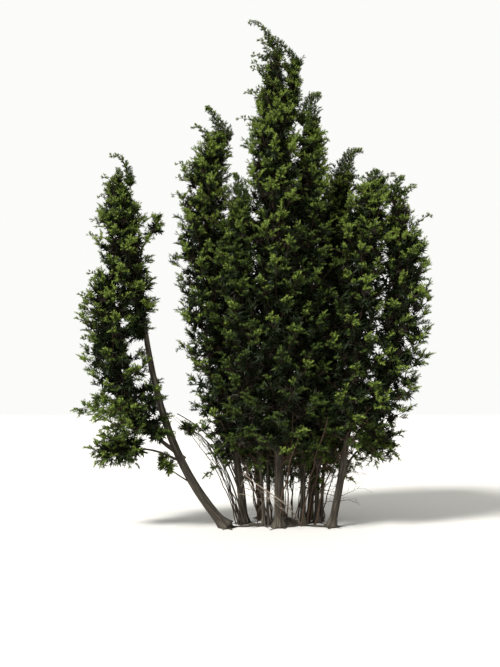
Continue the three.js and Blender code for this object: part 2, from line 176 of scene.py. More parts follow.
def barkMaterial():
    look = barkLook
    material = plainMaterial("peelingJuniperBark", look["weathered"], look["roughness"], look["ior"])
    tree = material.node_tree
    shader = tree.nodes["Principled BSDF"]
    limbMap = addNode(tree, "ShaderNodeUVMap", {"uv_map": "limbMap"})
    streaks = []
    for width in (look["stripWidth"], look["fibreWidth"]):
        stretched = addNode(tree, "ShaderNodeMapping", {}, {
            "Vector": limbMap.outputs["UV"],
            "Scale": (1 / width, 1 / look["stripLength"], 1),
        })
        streaks.append(addNode(tree, "ShaderNodeTexNoise", {}, {
            "Vector": stretched.outputs["Vector"],
            "Scale": 1.0,
            "Detail": 4.0,
            "Distortion": 0.6,
        }).outputs["Fac"])
    both = addNode(tree, "ShaderNodeMath", {"operation": "MULTIPLY"}, {0: streaks[0], 1: streaks[1]})
    ramp = addNode(tree, "ShaderNodeValToRGB", {}, {"Fac": both.outputs["Value"]})
    stops = ramp.color_ramp.elements
    stops[0].position, stops[0].color = look["gapBelow"], linearColour(look["gap"])
    stops[1].position, stops[1].color = look["stripAbove"], linearColour(look["strip"])
    stops.new(look["weatheredAt"]).color = linearColour(look["weathered"])
    bump = addNode(tree, "ShaderNodeBump", {}, {
        "Height": both.outputs["Value"],
        "Strength": look["bump"],
        "Distance": look["relief"],
    })
    tree.links.new(ramp.outputs["Color"], shader.inputs["Base Color"])
    tree.links.new(bump.outputs["Normal"], shader.inputs["Normal"])
    return material


needles = needleMaterials()
bark = barkMaterial()
# The young bark's red-brown is darkened as painted shade for the dim inside of the crowns.
twigBark = plainMaterial("youngJuniperBark", "#3f3024", 0.9, 1.35)  # smooth red-brown, dull
deadWood = plainMaterial("dryDeadWood", "#857a6c", 0.95, 1.4)  # bare, silver-grey, quite matt
print("materials made")


# The growth rule. Sizes of stems, crowns and boughs are in millimetres until readyToGrow turns them to
# metres.
growth = {
    "lowestRise": 0.1,  # how steeply a crown's lowest and highest boughs climb
    "highestRise": 1.5,
    "riseCurve": 0.7,
    "footReach": 0.75,  # share of its reach that a crown has at its lowest bough
    "footWidening": 2,
    "footFade": 0.3,  # metres below that bough in which the crown ends
    "depthRounds": 4,  # tries at the height where the bough through a point leaves its stem
    "widest": 1.2,  # reaches out to which a bough looks for room
    "roomStep": 20 * mm,
    "ownMargin": 0.04,  # how much further out a bough must lie in a neighbour's crown than in its own
    "tipRadius": 7,
    "stemTaper": 0.85,
    "collarHeight": 150,
    "leftBendHeight": 1350,
    "levels": {1: [""], 2: ["_lower", "_upper"], 3: ["_lower", "_middle", "_upper"]},
}

# from: the stem that this one forks from. girth: radius at the foot. masses: nodes that the crown replaces.
# lowest: root height of the lowest bough. reach: widest radius. fullness: 1 for a crown that narrows all
# the way up, 3 for one that stays wide. line: foot, two handles and top of the stem. shift: how far the
# crown's bottom stands off the stem. leader: from the stem's top to its shoot's tip. nod: how far the
# leader's soft end then hangs over, to the right. belly: how far its middle stands to the right.
# windswept: 1 where lesser leaders lean left. pointed: how much less than its reach a crown may fill at the
# very top. bareTo: height in metres up to which its plumes have lost their needles.
usualColumn = {
    "from": None,
    "masses": 2,
    "belly": 0,
    "windswept": 0,
    "bareTo": 0,
}
columns = {
    "main": {
        "girth": 56, "masses": 3, "lowest": 700, "reach": 620, "fullness": 1.1,
        "line": [[0, 0, 0], [0, 0, 2000], [-90, 0, 4000], [-30, 0, 5950]],
        "shift": [30, -80], "leader": [-160, 0, 390], "nod": -150, "belly": 20, "windswept": 1,
        "pointed": 0.62, "bareTo": 0.96,
    },
    "twin": {
        "from": "main", "girth": 16, "masses": 1, "lowest": 4650, "reach": 195, "fullness": 1.2,
        "line": [[-52, 0, 4560], [50, -40, 4800], [230, -60, 5200], [210, -60, 5780]],
        "shift": [0, 0], "leader": [-190, 0, 300], "nod": -85, "windswept": 1, "pointed": 0.4,
    },
    "front": {
        "girth": 21, "lowest": 800, "reach": 420, "fullness": 1.8,
        "line": [[-180, 60, 0], [-190, 20, 1200], [-560, -150, 2300], [-440, -150, 3950]],
        "shift": [0, -60], "leader": [-50, 0, 320], "nod": -40, "windswept": 1, "pointed": 0.2,
        "bareTo": 0.92,
    },
    "second": {
        "girth": 50, "masses": 3, "lowest": 850, "reach": 455, "fullness": 2.2,
        "line": [[-420, 250, 0], [-500, 200, 1500], [-1230, 100, 3200], [-700, 100, 4880]],
        "shift": [-40, 0], "leader": [-170, 0, 360], "nod": -20, "belly": 15, "windswept": 1,
        "pointed": 0.05,
    },
    "shoulder": {
        "girth": 34, "lowest": 850, "reach": 450, "fullness": 1.5,
        "line": [[300, 200, 0], [310, 200, 1600], [330, 60, 3600], [440, 0, 5030]],
        "shift": [40, -160], "leader": [60, 0, 340], "nod": 40, "belly": -110, "windswept": 0.5,
        "pointed": 0, "bareTo": 0.92,
    },
    "dark": {
        "girth": 32, "lowest": 950, "reach": 440, "fullness": 2,
        "line": [[480, 300, 0], [500, 300, 1400], [560, 350, 3000], [870, 300, 4400]],
        "shift": [40, 40], "leader": [20, 0, 360], "nod": 210, "pointed": 0,
    },
    "right": {
        "girth": 45, "lowest": 1000, "reach": 470, "fullness": 2.6,
        "line": [[620, 0, 0], [980, 0, 1500], [930, 0, 2600], [1210, 0, 4160]],
        "shift": [0, -60], "leader": [-20, 0, 190], "nod": 50, "pointed": 0, "bareTo": 1.12,
    },
    "right_outer": {
        "from": "right", "girth": 26, "lowest": 1080, "reach": 450, "fullness": 1.7,
        "line": [[830, 0, 960], [1050, -20, 1150], [1640, -60, 1900], [1440, -60, 4020]],
        "shift": [80, 0], "leader": [40, 0, 240], "nod": 70, "pointed": 0.5,
    },
    "left": {
        "girth": 56, "lowest": 2250, "reach": 390, "fullness": 1.8,
        "line": [[-620, -40, 0], [-1750, -60, 1200], [-1550, -60, 2800], [-1960, -60, 4240]],
        "shift": [-250, 0], "leader": [-100, 0, 310], "nod": -5, "belly": 190, "windswept": 1,
        "pointed": 0.45,
    },
    "left_outer": {
        "from": "left", "girth": 27, "lowest": 1060, "reach": 440, "fullness": 2,
        "line": [[-1120, -50, 800], [-1400, -60, 1050], [-2230, -80, 1350], [-1980, -60, 3100]],
        "shift": [-40, 0], "leader": [-40, 0, 280], "nod": -60, "windswept": 1, "pointed": 0.2,
    },
    "back_left": {
        "girth": 38, "lowest": 700, "reach": 510, "fullness": 1.9,
        "line": [[-200, 600, 0], [-250, 750, 1300], [-750, 1050, 2600], [-560, 1000, 3950]],
        "shift": [0, 60], "leader": [-20, 0, 300], "nod": -60, "pointed": 0.15,
    },
    "back_middle": {
        "girth": 42, "lowest": 700, "reach": 540, "fullness": 1.7,
        "line": [[60, 640, 0], [20, 800, 1600], [100, 1150, 3200], [100, 1050, 4650]],
        "shift": [0, 80], "leader": [0, 20, 320], "nod": -40, "pointed": 0.2,
    },
    "back_right": {
        "girth": 40, "lowest": 700, "reach": 530, "fullness": 1.9,
        "line": [[420, 580, 0], [500, 700, 1500], [980, 1100, 2700], [860, 1000, 4100]],
        "shift": [60, 60], "leader": [20, 0, 300], "nod": -30, "pointed": 0.15,
    },
}
columns = {name: {**usualColumn, **column} for name, column in columns.items()}

# Bare boughs, slender stems and whips. tuft: reach and length of the foliage at the end. tone: how light it
# is. leafyFrom: share of the bough where its leaves begin. woodFrom: where it comes out of its stem.
usualBough = {
    "from": None,
    "tuft": None,
    "leafyFrom": 1,
    "woodFrom": 0,
}
boughs = {
    "left_ground_bough": {
        "from": "left", "radius": 17, "tuft": (200, 540), "tone": -0.1, "woodFrom": 0.1,
        "line": [[-1120, -60, 760], [-1260, -80, 800], [-1420, -90, 930], [-1660, -100, 920]],
    },
    "left_side_bough": {
        "from": "left", "radius": 12, "tuft": (110, 240), "tone": 0.3, "leafyFrom": 0.2,
        "line": [[-1700, -50, 3300], [-1650, -55, 3390], [-1600, -60, 3470], [-1560, -60, 3530]],
    },
    "left_low_twig": {
        "from": "left", "radius": 12, "tuft": (110, 200), "tone": -0.1, "woodFrom": 0.3,
        "line": [[-860, -50, 400], [-960, -60, 480], [-1120, -70, 560], [-1270, -80, 670]],
    },
    "long_whip": {
        "radius": 11, "tuft": (70, 120), "tone": -0.1,
        "line": [[-410, 150, 0], [-600, 60, 700], [-760, 60, 980], [-1050, 90, 1130]],
    },
    "tall_whip": {
        "radius": 11,
        "line": [[-370, 180, 0], [-520, 150, 640], [-700, 200, 1060], [-1250, 260, 1330]],
    },
    "crossing_dead_whip": {
        "radius": 8,
        "line": [[265, 145, 0], [140, -200, 330], [-180, -130, 420], [-420, -130, 640]],
    },
    "front_slender_stem": {
        "radius": 18,
        "line": [[-120, 90, 0], [-150, 90, 300], [-110, 80, 700], [-150, 90, 1010]],
    },
    "dark_slender_stem": {
        "radius": 24,
        "line": [[540, 380, 0], [560, 400, 400], [590, 430, 800], [640, 440, 1150]],
    },
    "right_low_bough": {
        "from": "right", "radius": 16, "tuft": (250, 405), "tone": -0.25,
        "line": [[790, 10, 620], [840, 60, 780], [950, 110, 900], [1060, 150, 930]],
    },
}
boughs = {name: {**usualBough, **bough} for name, bough in boughs.items()}


def unit(vectors):
    return vectors / np.maximum(np.linalg.norm(vectors, axis=-1, keepdims=True), 1e-9)


def mix(a, b, share):
    return a + (b - a) * share


# Chance from 0 to 1, fixed for each part and trait, as in the source.
def chance(part, trait):
    wave = np.sin(part * 127.1 + trait * 311.7) * 43758.5453
    return wave - np.floor(wave)


# Points and headings of a line with two handles. A share is 0 at its foot and 1 at its end.
def curvePoint(line, share):
    t = np.asarray(share, float)[..., None]
    a, b, c, d = line
    return a * (1 - t) ** 3 + 3 * b * t * (1 - t) ** 2 + 3 * c * t ** 2 * (1 - t) + d * t ** 3


def curveHeading(line, share):
    t = np.asarray(share, float)[..., None]
    a, b, c, d = line
    return unit((b - a) * (1 - t) ** 2 + 2 * (c - b) * t * (1 - t) + (d - c) * t ** 2)


def shareAtHeight(line, height):
    shares = np.linspace(0, 1, 600)
    return np.interp(height, curvePoint(line, shares)[:, 2], shares)


def stemAt(column, height):
    return curvePoint(column["line"], shareAtHeight(column["line"], height))


# How far up a crown a height lies.
def shareAt(column, height):
    crownLength = column["line"][3][2] - column["lowest"]
    return np.clip((height - column["lowest"]) / crownLength, 0, 0.99)


def axisAt(column, height):
    shift = column["shift"] * np.sqrt(1 - shareAt(column, height))[..., None]
    return stemAt(column, height)[..., :2] + shift


def reachAt(column, height):
    share = shareAt(column, height)
    widened = np.minimum(1, growth["footReach"] + share * growth["footWidening"])
    return column["reach"] * widened * np.sqrt(1 - share ** column["fullness"])


def riseAt(column, height):
    return mix(growth["lowestRise"], growth["highestRise"], shareAt(column, height) ** growth["riseCurve"])


def crownPoint(column, height, out, azimuth):
    outward = np.stack([np.cos(azimuth), np.sin(azimuth)], -1) * np.asarray(out)[..., None]
    rise = (height + riseAt(column, height) * out)[..., None]
    return np.concatenate([axisAt(column, height) + outward, rise], -1)


# How far out points lie in a crown: 0 on its axis, 1 on its outline.
def depthOf(crown, points):
    if "tuftReach" in crown:
        start, end = crown["tuftEnds"]
        along = end - start
        share = np.clip((points - start) @ along / (along @ along), 0, 1)
        nearest = start + share[..., None] * along
        return np.linalg.norm(points - nearest, axis=-1) / crown["tuftReach"]
    height = points[..., 2]
    for _ in range(growth["depthRounds"]):
        out = np.linalg.norm(points[..., :2] - axisAt(crown, height), axis=-1)
        height = points[..., 2] - riseAt(crown, height) * out
    out = np.linalg.norm(points[..., :2] - axisAt(crown, height), axis=-1)
    return out / reachAt(crown, height) + np.maximum(0, crown["lowest"] - height) / growth["footFade"]


# Turns millimetres to metres and finds where the foliage of each bough stands.
def readyToGrow():
    sizes = ("line", "girth", "radius", "lowest", "reach", "shift", "leader", "nod", "belly", "tuft")
    for limb in [*columns.values(), *boughs.values()]:
        for size in sizes:
            if limb.get(size) is not None:
                limb[size] = np.array(limb[size], float) * mm
    for size in ("tipRadius", "collarHeight", "leftBendHeight"):
        growth[size] *= mm
    for bough in boughs.values():
        if bough["tuft"] is None:
            continue
        bough["tuftReach"], length = bough["tuft"]
        end = bough["line"][3]
        bough["tuftEnds"] = (end, end + curveHeading(bough["line"], 1) * length)


readyToGrow()
crowns = [*columns.values(), *(bough for bough in boughs.values() if bough["tuft"] is not None)]


# How far out boughs can go before they meet a neighbour's space.
def roomFor(column, height, azimuth):
    step = growth["roomStep"]
    widest = reachAt(column, height) * growth["widest"]
    room = widest.copy()
    isOpen = np.ones(len(height), bool)
    for out in np.arange(step, widest.max(), step):
        points = crownPoint(column, height, np.full(len(height), out), azimuth)
        depth = depthOf(column, points) + growth["ownMargin"]
        owned = np.all([depth < depthOf(other, points) for other in crowns if other is not column], axis=0)
        stops = isOpen & (out < widest) & ~owned
        room[stops] = out - step
        isOpen &= owned
    return room


# Foliage. Each bough of a crown ends in a plume of twigs, and every twig carries sprays of needles.
foliage = {
    "patch": 0.081,  # square metres of a crown's outside that one plume covers
    "fullPatchReach": 0.45,  # on a crown narrower than this a plume covers less
    "plume": 0.2,  # half width of a plume
    "plumeStart": 0.4,  # share of a bough at which its first twig stands
    "twigs": 6,
    "spraysOnTwig": (0.35, 0.66, 0.98),  # shares of a twig
    "innerSprays": 12,
    "sprayLength": 0.14,
    "fullSizeReach": 0.22,  # a crown narrower than this has smaller plumes and sprays
    "smallSpray": 0.75,  # sprays below this size are short ones with needles of nearly full size
    "reachAllowed": 1.2,  # outline of the source's furthest sprays
    "spill": 0.03,  # how far a small spray may pass it, in metres
    "tuftSpill": 0.2,  # the same at the end of a bough, as a share of the tuft's reach
    "innerReach": 0.8,
    "lowestNeedle": 0.3,
    "liveDepth": 0.15,  # live needles grow only this near to the open air
    "valley": 0.6,  # how near, in depth, a neighbour's crown shades a spray
    "valleyShade": 0.4,
    "innerDepth": 0.9,
    "cell": 0.1,  # of the grid that the depth is measured on
}


# How deep places lie in the whole clump, on a coarse grid over all its crowns.
def clumpDepth():
    cell = foliage["cell"]
    axes = [np.arange(boxLow[k] - cell, boxHigh[k] + 2 * cell, cell) for k in range(3)]
    places = np.stack(np.meshgrid(*axes, indexing="ij"), -1).reshape(-1, 3)
    filled = np.any([depthOf(crown, places) < 1 for crown in crowns], axis=0)
    filled = filled.reshape([len(axis) for axis in axes])
    depth = np.zeros(filled.shape)
    while filled.any():
        depth += filled * cell
        inner = filled.copy()
        for axis in range(3):
            inner &= np.roll(filled, 1, axis) & np.roll(filled, -1, axis)
        filled = inner
    return boxLow - cell, depth


gridLow, gridDepth = clumpDepth()


def buriedBy(points):
    cells = np.round((points - gridLow) / foliage["cell"]).astype(int)
    cells = np.clip(cells, 0, np.array(gridDepth.shape) - 1)
    return gridDepth[tuple(cells.T)]


# The same for bows, which have one handle.
def bowPoint(bows, share):
    t = share[..., None]
    a, b, c = (bows[..., k, :] for k in range(3))
    return a * (1 - t) ** 2 + 2 * b * t * (1 - t) + c * t ** 2


def bowHeading(bows, share):
    t = share[..., None]
    a, b, c = (bows[..., k, :] for k in range(3))
    return unit((b - a) * (1 - t) + (c - b) * t)


# How a plume grows from its bough. A pair is the least and what chance may add.
plumeShape = {
    "heading": (0.5, 0.85, 0.3),  # of a twig: along its bough, to the side and up
    # painted light: the upper side of a bough is toned lighter, as if lit from above
    "upperLight": 0.14,  # a twig on its bough's upper side is lighter
    "fullLengthFrom": 0.5,  # share of the bough
    "narrowing": (1.3, 0.75),  # a plume's width at its bough's foot and what it loses to the end
    "twigLength": (0.75, 0.5),  # of the plume's half width
    "shortestTwig": 0.02,
    "sprayTakes": 0.07,  # what the spray at its end takes of a twig's length
    "sag": (0.55, 0.08),  # where on a twig, and how far
    "lean": (0.7, 0.15),  # of a spray from its twig
    "raised": 0.3,  # how strongly a spray turns up
    "astray": 0.2,  # and any way by chance
    "spraySize": (0.8, 0.4),
    "toneSpread": (0.3, 0.08),  # the whole of what chance does to a spray's tone, and its darker part
    "endRaised": 0.15,  # the same for the sprays at a bough's end
    "endAstray": 0.12,
    "endSize": 0.15,
    # lighter tips: partly fresh growth, partly painted shade on the sprays deeper in
    "outerLight": 0.45,  # sprays are lighter towards the tips of boughs and twigs
    "tipLight": 0.1,
    "endLight": (0.6, 0.2),
    "boughRings": 7,
    "boughRadius": (7 * mm, 2.2 * mm),
    "twigRadius": (2.4 * mm, 1.8 * mm, 1.2 * mm),
}


# Twigs and sprays on bows, each of which has a start, a handle and an end.
def growPlumes(draw, bows, halfWidth, twigs, start, tone, scale, taper=0):
    shape = plumeShape
    count = len(bows)
    share = start + (1 - start) * ((np.arange(twigs) + draw.random((count, twigs))) / twigs) ** (1 + taper)
    root = bowPoint(bows[:, None], share)
    along = bowHeading(bows[:, None], share)
    level = unit(np.cross(up, along) + [1e-4, 0, 0])
    above = np.cross(along, level)
    turn = np.arange(twigs) * goldenAngle + draw.random((count, 1)) * 2 * math.pi
    side = level * np.cos(turn)[..., None] + above * np.sin(turn)[..., None]
    forward, sideways, upward = shape["heading"]
    heading = unit(forward * along + sideways * side + upward * up)
    # painted light: twigs on a bough's upper side are toned lighter
    paintedUpperLight = side[..., 2] * shape["upperLight"]
    if taper:
        width = halfWidth[:, None] * (1 - taper * share)
    else:
        widest, narrower = shape["narrowing"]
        width = halfWidth[:, None] * np.minimum(share / shape["fullLengthFrom"], 1)
        width = width * (widest - narrower * share)
    least, more = shape["twigLength"]
    length = width * (least + more * draw.random((count, twigs))) - shape["sprayTakes"] * scale[:, None]
    length = np.maximum(shape["shortestTwig"], length)
    tip = root + heading * length[..., None]
    middle = mix(root, tip, shape["sag"][0]) - up * length[..., None] * shape["sag"][1]
    sprays = {"root": [], "heading": [], "size": [], "tone": [], "kind": []}

    def addSprays(at, towards, size, tones, kinds):
        sprays["root"].append(at.reshape(-1, 3))
        sprays["heading"].append(unit(towards).reshape(-1, 3))
        sprays["size"].append(np.broadcast_to(size, at.shape[:-1]).ravel())
        sprays["tone"].append(np.broadcast_to(tones, at.shape[:-1]).ravel())
        sprays["kind"].append(draw.choice(kinds, at.shape[:-1]).ravel())

    across = unit(np.cross(heading, up) + [1e-4, 0, 0])
    for number, place in enumerate(foliage["spraysOnTwig"]):
        lean = (shape["lean"][0] * (1 - place) + shape["lean"][1]) * (1 if number % 2 else -1)
        towards = heading + across * lean + shape["raised"] * up
        towards = towards + shape["astray"] * draw.normal(size=heading.shape)
        least, more = shape["spraySize"]
        size = scale[:, None] * (least + more * draw.random(share.shape)) * (1 - taper * share)
        # lighter towards tips, for fresh growth and as painted shade deeper in, and on top as painted light
        tones = tone[:, None] + shape["outerLight"] * share + shape["tipLight"] * place + paintedUpperLight
        spread, darker = shape["toneSpread"]
        tones = tones + spread * draw.random(share.shape) - darker
        addSprays(mix(root, tip, place), towards, size, tones, [0, 1, 1, 2] if number else [0, 1])
    end = bows[:, 2]
    last = bowHeading(bows, np.ones(count))
    beside = unit(np.cross(up, last) + [1e-4, 0, 0])
    # lean, size and kinds of the sprays at a bough's end
    ends = ((0, 1.0, [2]),) if taper else ((0, 1.0, [2]), (0.6, 0.9, [0, 2]), (-0.6, 0.9, [0, 1]))
    light, lighter = shape["endLight"]
    for lean, size, kinds in ends:
        towards = last + lean * beside + shape["endRaised"] * up
        towards = towards + shape["endAstray"] * draw.normal(size=last.shape)
        size = scale * (size + shape["endSize"] * draw.random(count)) * (1 - taper)
        addSprays(end, towards, size, tone + light + lighter * draw.random(count), kinds)
    rings = np.linspace(0, 1, shape["boughRings"])
    return {
        "boughs": (bowPoint(bows[:, None], rings[None]), mix(*shape["boughRadius"], rings)),
        "twigs": (np.stack([root, middle, tip], 2).reshape(-1, 3, 3), np.array(shape["twigRadius"])),
        "sprays": {key: np.concatenate(parts) for key, parts in sprays.items()},
    }


innerSprays = {
    "stretch": (0.08, 0.8),  # of a bough
    "upward": 0.5,
    "size": (1.0, 0.5),
    "brown": 0.25,  # share of them
    "kind": 4,  # the last of sprayKinds
}


# Old needles near the stem, which close the crown behind its plumes. Their tones are below every live one:
# most take the dark inner green, a painted shade, and a quarter the old brown.
def growInside(draw, bows, each, scale):
    first, stretch = innerSprays["stretch"]
    least, more = innerSprays["size"]
    share = first + stretch * draw.random((len(bows), each))
    heading = unit(draw.normal(size=(len(bows), each, 3)) + innerSprays["upward"] * up)
    return {
        "root": bowPoint(bows[:, None], share).reshape(-1, 3),
        "heading": heading.reshape(-1, 3),
        "size": (scale[:, None] * (least + more * draw.random(share.shape))).ravel(),
        "tone": np.where(draw.random(share.size) < innerSprays["brown"], -2.0, -1.0),
        "kind": np.full(share.size, innerSprays["kind"]),
    }


boughShape = {
    "crownArea": 0.72,  # a crown's outside, as a share of a cylinder's of its reach
    "smallestPatch": 0.6,  # side of a plume's patch on a narrow crown, as a share of the usual one
    "topmost": 0.97,  # share of the crown's length
    "turn": 1.3,  # of each crown's boughs from the last crown's, in radians
    "lobes": 0.18,
    "ragged": 0.18,
    "room": 0.97,
    "shortest": 0.3,  # of the reach
    "sprayPast": 0.8,  # share of a spray that stands out past the wood
    "leastWood": 0.5,  # of a bough's wished length
    "rootDrop": 0.15,  # how far below its height a bough roots, for each metre that it reaches out
    "sag": (0.55, 0.06),
    "spare": 0.09,  # room for a spray between free bows and the plant's box
}


# Where each bough of a crown roots, which way it heads and how far out its wood goes.
def boughPlan(column, number):
    shape = boughShape
    top = column["line"][3][2]
    crownLength = top - column["lowest"]
    narrow = np.clip(column["reach"] / foliage["fullPatchReach"], shape["smallestPatch"], 1)
    patch = foliage["patch"] * narrow ** 2
    count = round(2 * math.pi * column["reach"] * crownLength * shape["crownArea"] / patch)
    index = np.arange(count)
    height = mix(column["lowest"], top, (index + 0.5) / count * shape["topmost"])
    azimuth = index * goldenAngle + number * shape["turn"]
    lobe = np.sin(3 * azimuth + 4.1 * height + number) * np.sin(2 * azimuth - 6.7 * height + 2 * number)
    ragged = shape["ragged"] * chance(number * 200 + index, 1)
    wish = reachAt(column, height) * (1.0 + shape["lobes"] * lobe + ragged)
    room = roomFor(column, height, azimuth) * shape["room"]
    grown = np.minimum(wish, room) > reachAt(column, height) * shape["shortest"]
    wood = wish - foliage["sprayLength"] * shape["sprayPast"]
    woodEnd = np.minimum(np.maximum(wood, wish * shape["leastWood"]), room)
    return height[grown], azimuth[grown], woodEnd[grown], lobe[grown]


def boughBows(column, height, azimuth, woodEnd):
    justAboveFoot = column["line"][0][2] + 0.02
    root = stemAt(column, np.maximum(justAboveFoot, height - boughShape["rootDrop"] * woodEnd))
    place, sag = boughShape["sag"]
    handle = crownPoint(column, height, woodEnd * place, azimuth) - up * (sag * woodEnd)[:, None]
    return np.stack([root, handle, crownPoint(column, height, woodEnd, azimuth)], 1)


# Keeps free bows within the plant's box.
def heldIn(bows):
    return np.clip(bows, boxLow + boughShape["spare"], boxHigh - boughShape["spare"])


# A level direction, which leans to the left as far as it says.
def levelWay(azimuth, leftwards):
    return unit(np.stack([np.cos(azimuth) - leftwards, np.sin(azimuth), 0 * azimuth], -1))


# A crown's top: the leader arches over and nods, and lesser leaders stand round it. Each is a brush of
# sprays that thins out to its tip.
crest = {
    "twigsPerMetre": 125,
    "openFrom": 0.11,  # half width past which a brush needs more twigs to look as dense
    "usualHalfWidth": 0.16,
    "halfWidth": {"main": 0.1, "twin": 0.08, "left": 0.1, "shoulder": 0.22, "dark": 0.22, "right": 0.2},
    "from": 0.45,  # how far below the stem's top the leader's sprays begin, in its own lengths
    "leafyFrom": 0.02,
    "handle": 1.05,  # the bow's, in leader's lengths above the stem's top
    "thinning": 0.86,
    "tone": 0.08,
    "brushScale": 0.8,
    "hang": 0.12,  # how far the tip sinks, as a share of the leader's height
    "lean": 1.1,  # of lesser leaders to the left, on a windswept crown
    "lesser": 10,
    "lesserScale": 0.7,
    "lesserTwigs": 14,
    "lesserWidth": 0.05,
    "lesserLeafyFrom": 0.25,
    "lesserReach": (0.09, 0.27),  # past the crown's own reach
    "lesserRise": (0.1, 0.34),
    "lesserHandle": (0.65, 1.1),  # shares of its reach and of its rise
    "rootDrop": 0.08,  # how far below its height a lesser leader roots
    "step": 0.1,  # from one lesser leader down to the next
    "stepChance": 0.9,
}


def growCrest(draw, name):
    column = columns[name]
    top, leader = column["line"][3], column["leader"]
    halfWidth = crest["halfWidth"].get(name, crest["usualHalfWidth"])
    hanging = np.array([column["nod"], 0, -crest["hang"] * leader[2]])
    belly = np.array([column["belly"], 0, 0])
    foot = top - leader * crest["from"] + belly * 0.5
    tall = [foot, top + leader * crest["handle"] + belly, top + leader + hanging]
    twigs = round(crest["twigsPerMetre"] * leader[2] * max(1, halfWidth / crest["openFrom"]))
    one = np.ones(1)
    brush = growPlumes(draw, np.stack(tall)[None], halfWidth * one, twigs, crest["leafyFrom"],
                       crest["tone"] * one, crest["brushScale"] * one, crest["thinning"])
    count = crest["lesser"]
    height = top[2] - (np.arange(count) + crest["stepChance"] * draw.random(count)) * crest["step"]
    rise = up * mix(*crest["lesserRise"], draw.random(count))[:, None]
    root = stemAt(column, height - crest["rootDrop"])
    azimuth = np.arange(count) * goldenAngle + draw.random(count)
    outward = levelWay(azimuth, crest["lean"] * column["windswept"])
    outward = outward * (reachAt(column, height) + mix(*crest["lesserReach"], draw.random(count)))[:, None]
    level, upright = crest["lesserHandle"]
    bows = heldIn(np.stack([root, root + outward * level + rise * upright, root + outward + rise], 1))
    every = np.ones(count)
    lesser = growPlumes(draw, bows, crest["lesserWidth"] * every, crest["lesserTwigs"],
                        crest["lesserLeafyFrom"], crest["tone"] * every, crest["lesserScale"] * every,
                        crest["thinning"])
    return [brush, lesser]


# Shaded low boughs past a crown's own reach. Lengths are in metres.
skirts = {
    "usual": {
        "boughs": 9,
        "above": (-0.12, 0.16),  # roots, from the lowest bough's
        "length": (0.24, 0.46),
        "bow": 0.06,
        "droop": 0.14,
        "leftwards": 0,
        "tone": -0.3,
        "toneChance": 0.15,
        "halfWidth": 0.16,
        "twigs": 5,
        "leafyFrom": 0.35,
        "scale": 0.95,
    },
    "second": {"boughs": 6, "leftwards": -0.7},
    "shoulder": {"boughs": 4},
    "dark": {},
    "right": {"boughs": 7},
    "left_outer": {
        "boughs": 16, "above": (-0.05, 0.4), "length": (0.4, 0.72), "droop": 0.02, "leftwards": 1,
        "tone": 0,
    },
    "back_left": {"boughs": 12},
    "back_middle": {"boughs": 13},
    "back_right": {"boughs": 14},
}


def growSkirt(draw, name):
    column, skirt = columns[name], {**skirts["usual"], **skirts[name]}
    count = skirt["boughs"]
    height = column["lowest"] + mix(*skirt["above"], draw.random(count))
    root = stemAt(column, height)
    outward = levelWay(np.arange(count) * goldenAngle, skirt["leftwards"])
    outward *= mix(*skirt["length"], draw.random(count))[:, None]
    middle = root + outward * 0.5 + up * skirt["bow"]
    bows = heldIn(np.stack([root, middle, root + outward - up * skirt["droop"]], 1))
    tone = skirt["tone"] + skirt["toneChance"] * draw.random(count)
    every = np.ones(count)
    return growPlumes(draw, bows, skirt["halfWidth"] * every, skirt["twigs"], skirt["leafyFrom"], tone,
                      skirt["scale"] * every)


# How light a crown's plumes are: by chance, and by painted light and shade, lighter on lobes that stand out
# and higher up, darker low down and on the shaded crowns.
crownTone = {
    "usual": -0.02,
    "chance": 0.16,
    "lobes": 0.2,
    "height": 0.2,
    "shadedCrowns": ("dark", "back_left", "back_middle", "back_right"),
    "shade": 0.12,
}


def growColumn(name, number):
    column = columns[name]
    draw = np.random.default_rng(seeds["crowns"] + number)
    height, azimuth, woodEnd, lobe = boughPlan(column, number)
    bows = boughBows(column, height, azimuth, woodEnd)
    # painted light and shade: lobes that stand out and high boughs are toned lighter, low ones darker
    tone = crownTone["chance"] * draw.random(len(bows)) + crownTone["usual"] + crownTone["lobes"] * lobe
    tone += crownTone["height"] * np.clip(height / 2 - 1.4, -0.7, 1)
    if name in crownTone["shadedCrowns"]:
        tone -= crownTone["shade"]
    scale = np.clip(reachAt(column, height) / foliage["fullSizeReach"], 0.5, 1)
    plumes = growPlumes(draw, bows, foliage["plume"] * scale, foliage["twigs"], foliage["plumeStart"], tone,
                        scale)
    free = growCrest(draw, name)
    if name in skirts:
        free.append(growSkirt(draw, name))
    inside = growInside(draw, bows, foliage["innerSprays"], scale)
    return plumes, free, inside


# A spray's mesh: an arching twiglet along +Z that nods away from +X, with needles all along it and along
# its side shoots.
spraySizes = {
    "needleLength": 27 * mm,  # about one and a half times life
    "needleWidth": 10.6 * mm,  # over five times life, as the count needs
    "needleLengths": (0.85, 0.3),  # of that length: the least and what chance may add
    "stretch": (0.1, 0.98),  # of a twiglet that its needles stand on
    "shoot": 30 * mm,  # the same of a side shoot, in metres
    "shootFoot": 0.3,  # bare part of a side shoot, as a share of that stretch
    "shootLength": 1.2,  # of its wood, as a share of that stretch
    "shootHeading": (0.8, 0.6),  # how much it follows the twiglet, and how far it turns off the plane
    "shootTurn": 1.2,  # by chance, in radians
    "shootWidth": 3.5 * mm,
    "widestAt": 0.4,  # share of a twiglet or shoot
    "woodEnd": 0.95,
    "spread": (66, 34),  # degrees between needle and shoot, from its foot to its tip
    "arch": 0.25,  # how far the tip nods, as a share of the length
    "youngFrom": 0.55,  # share of a twiglet or shoot past which its needles are this year's
}
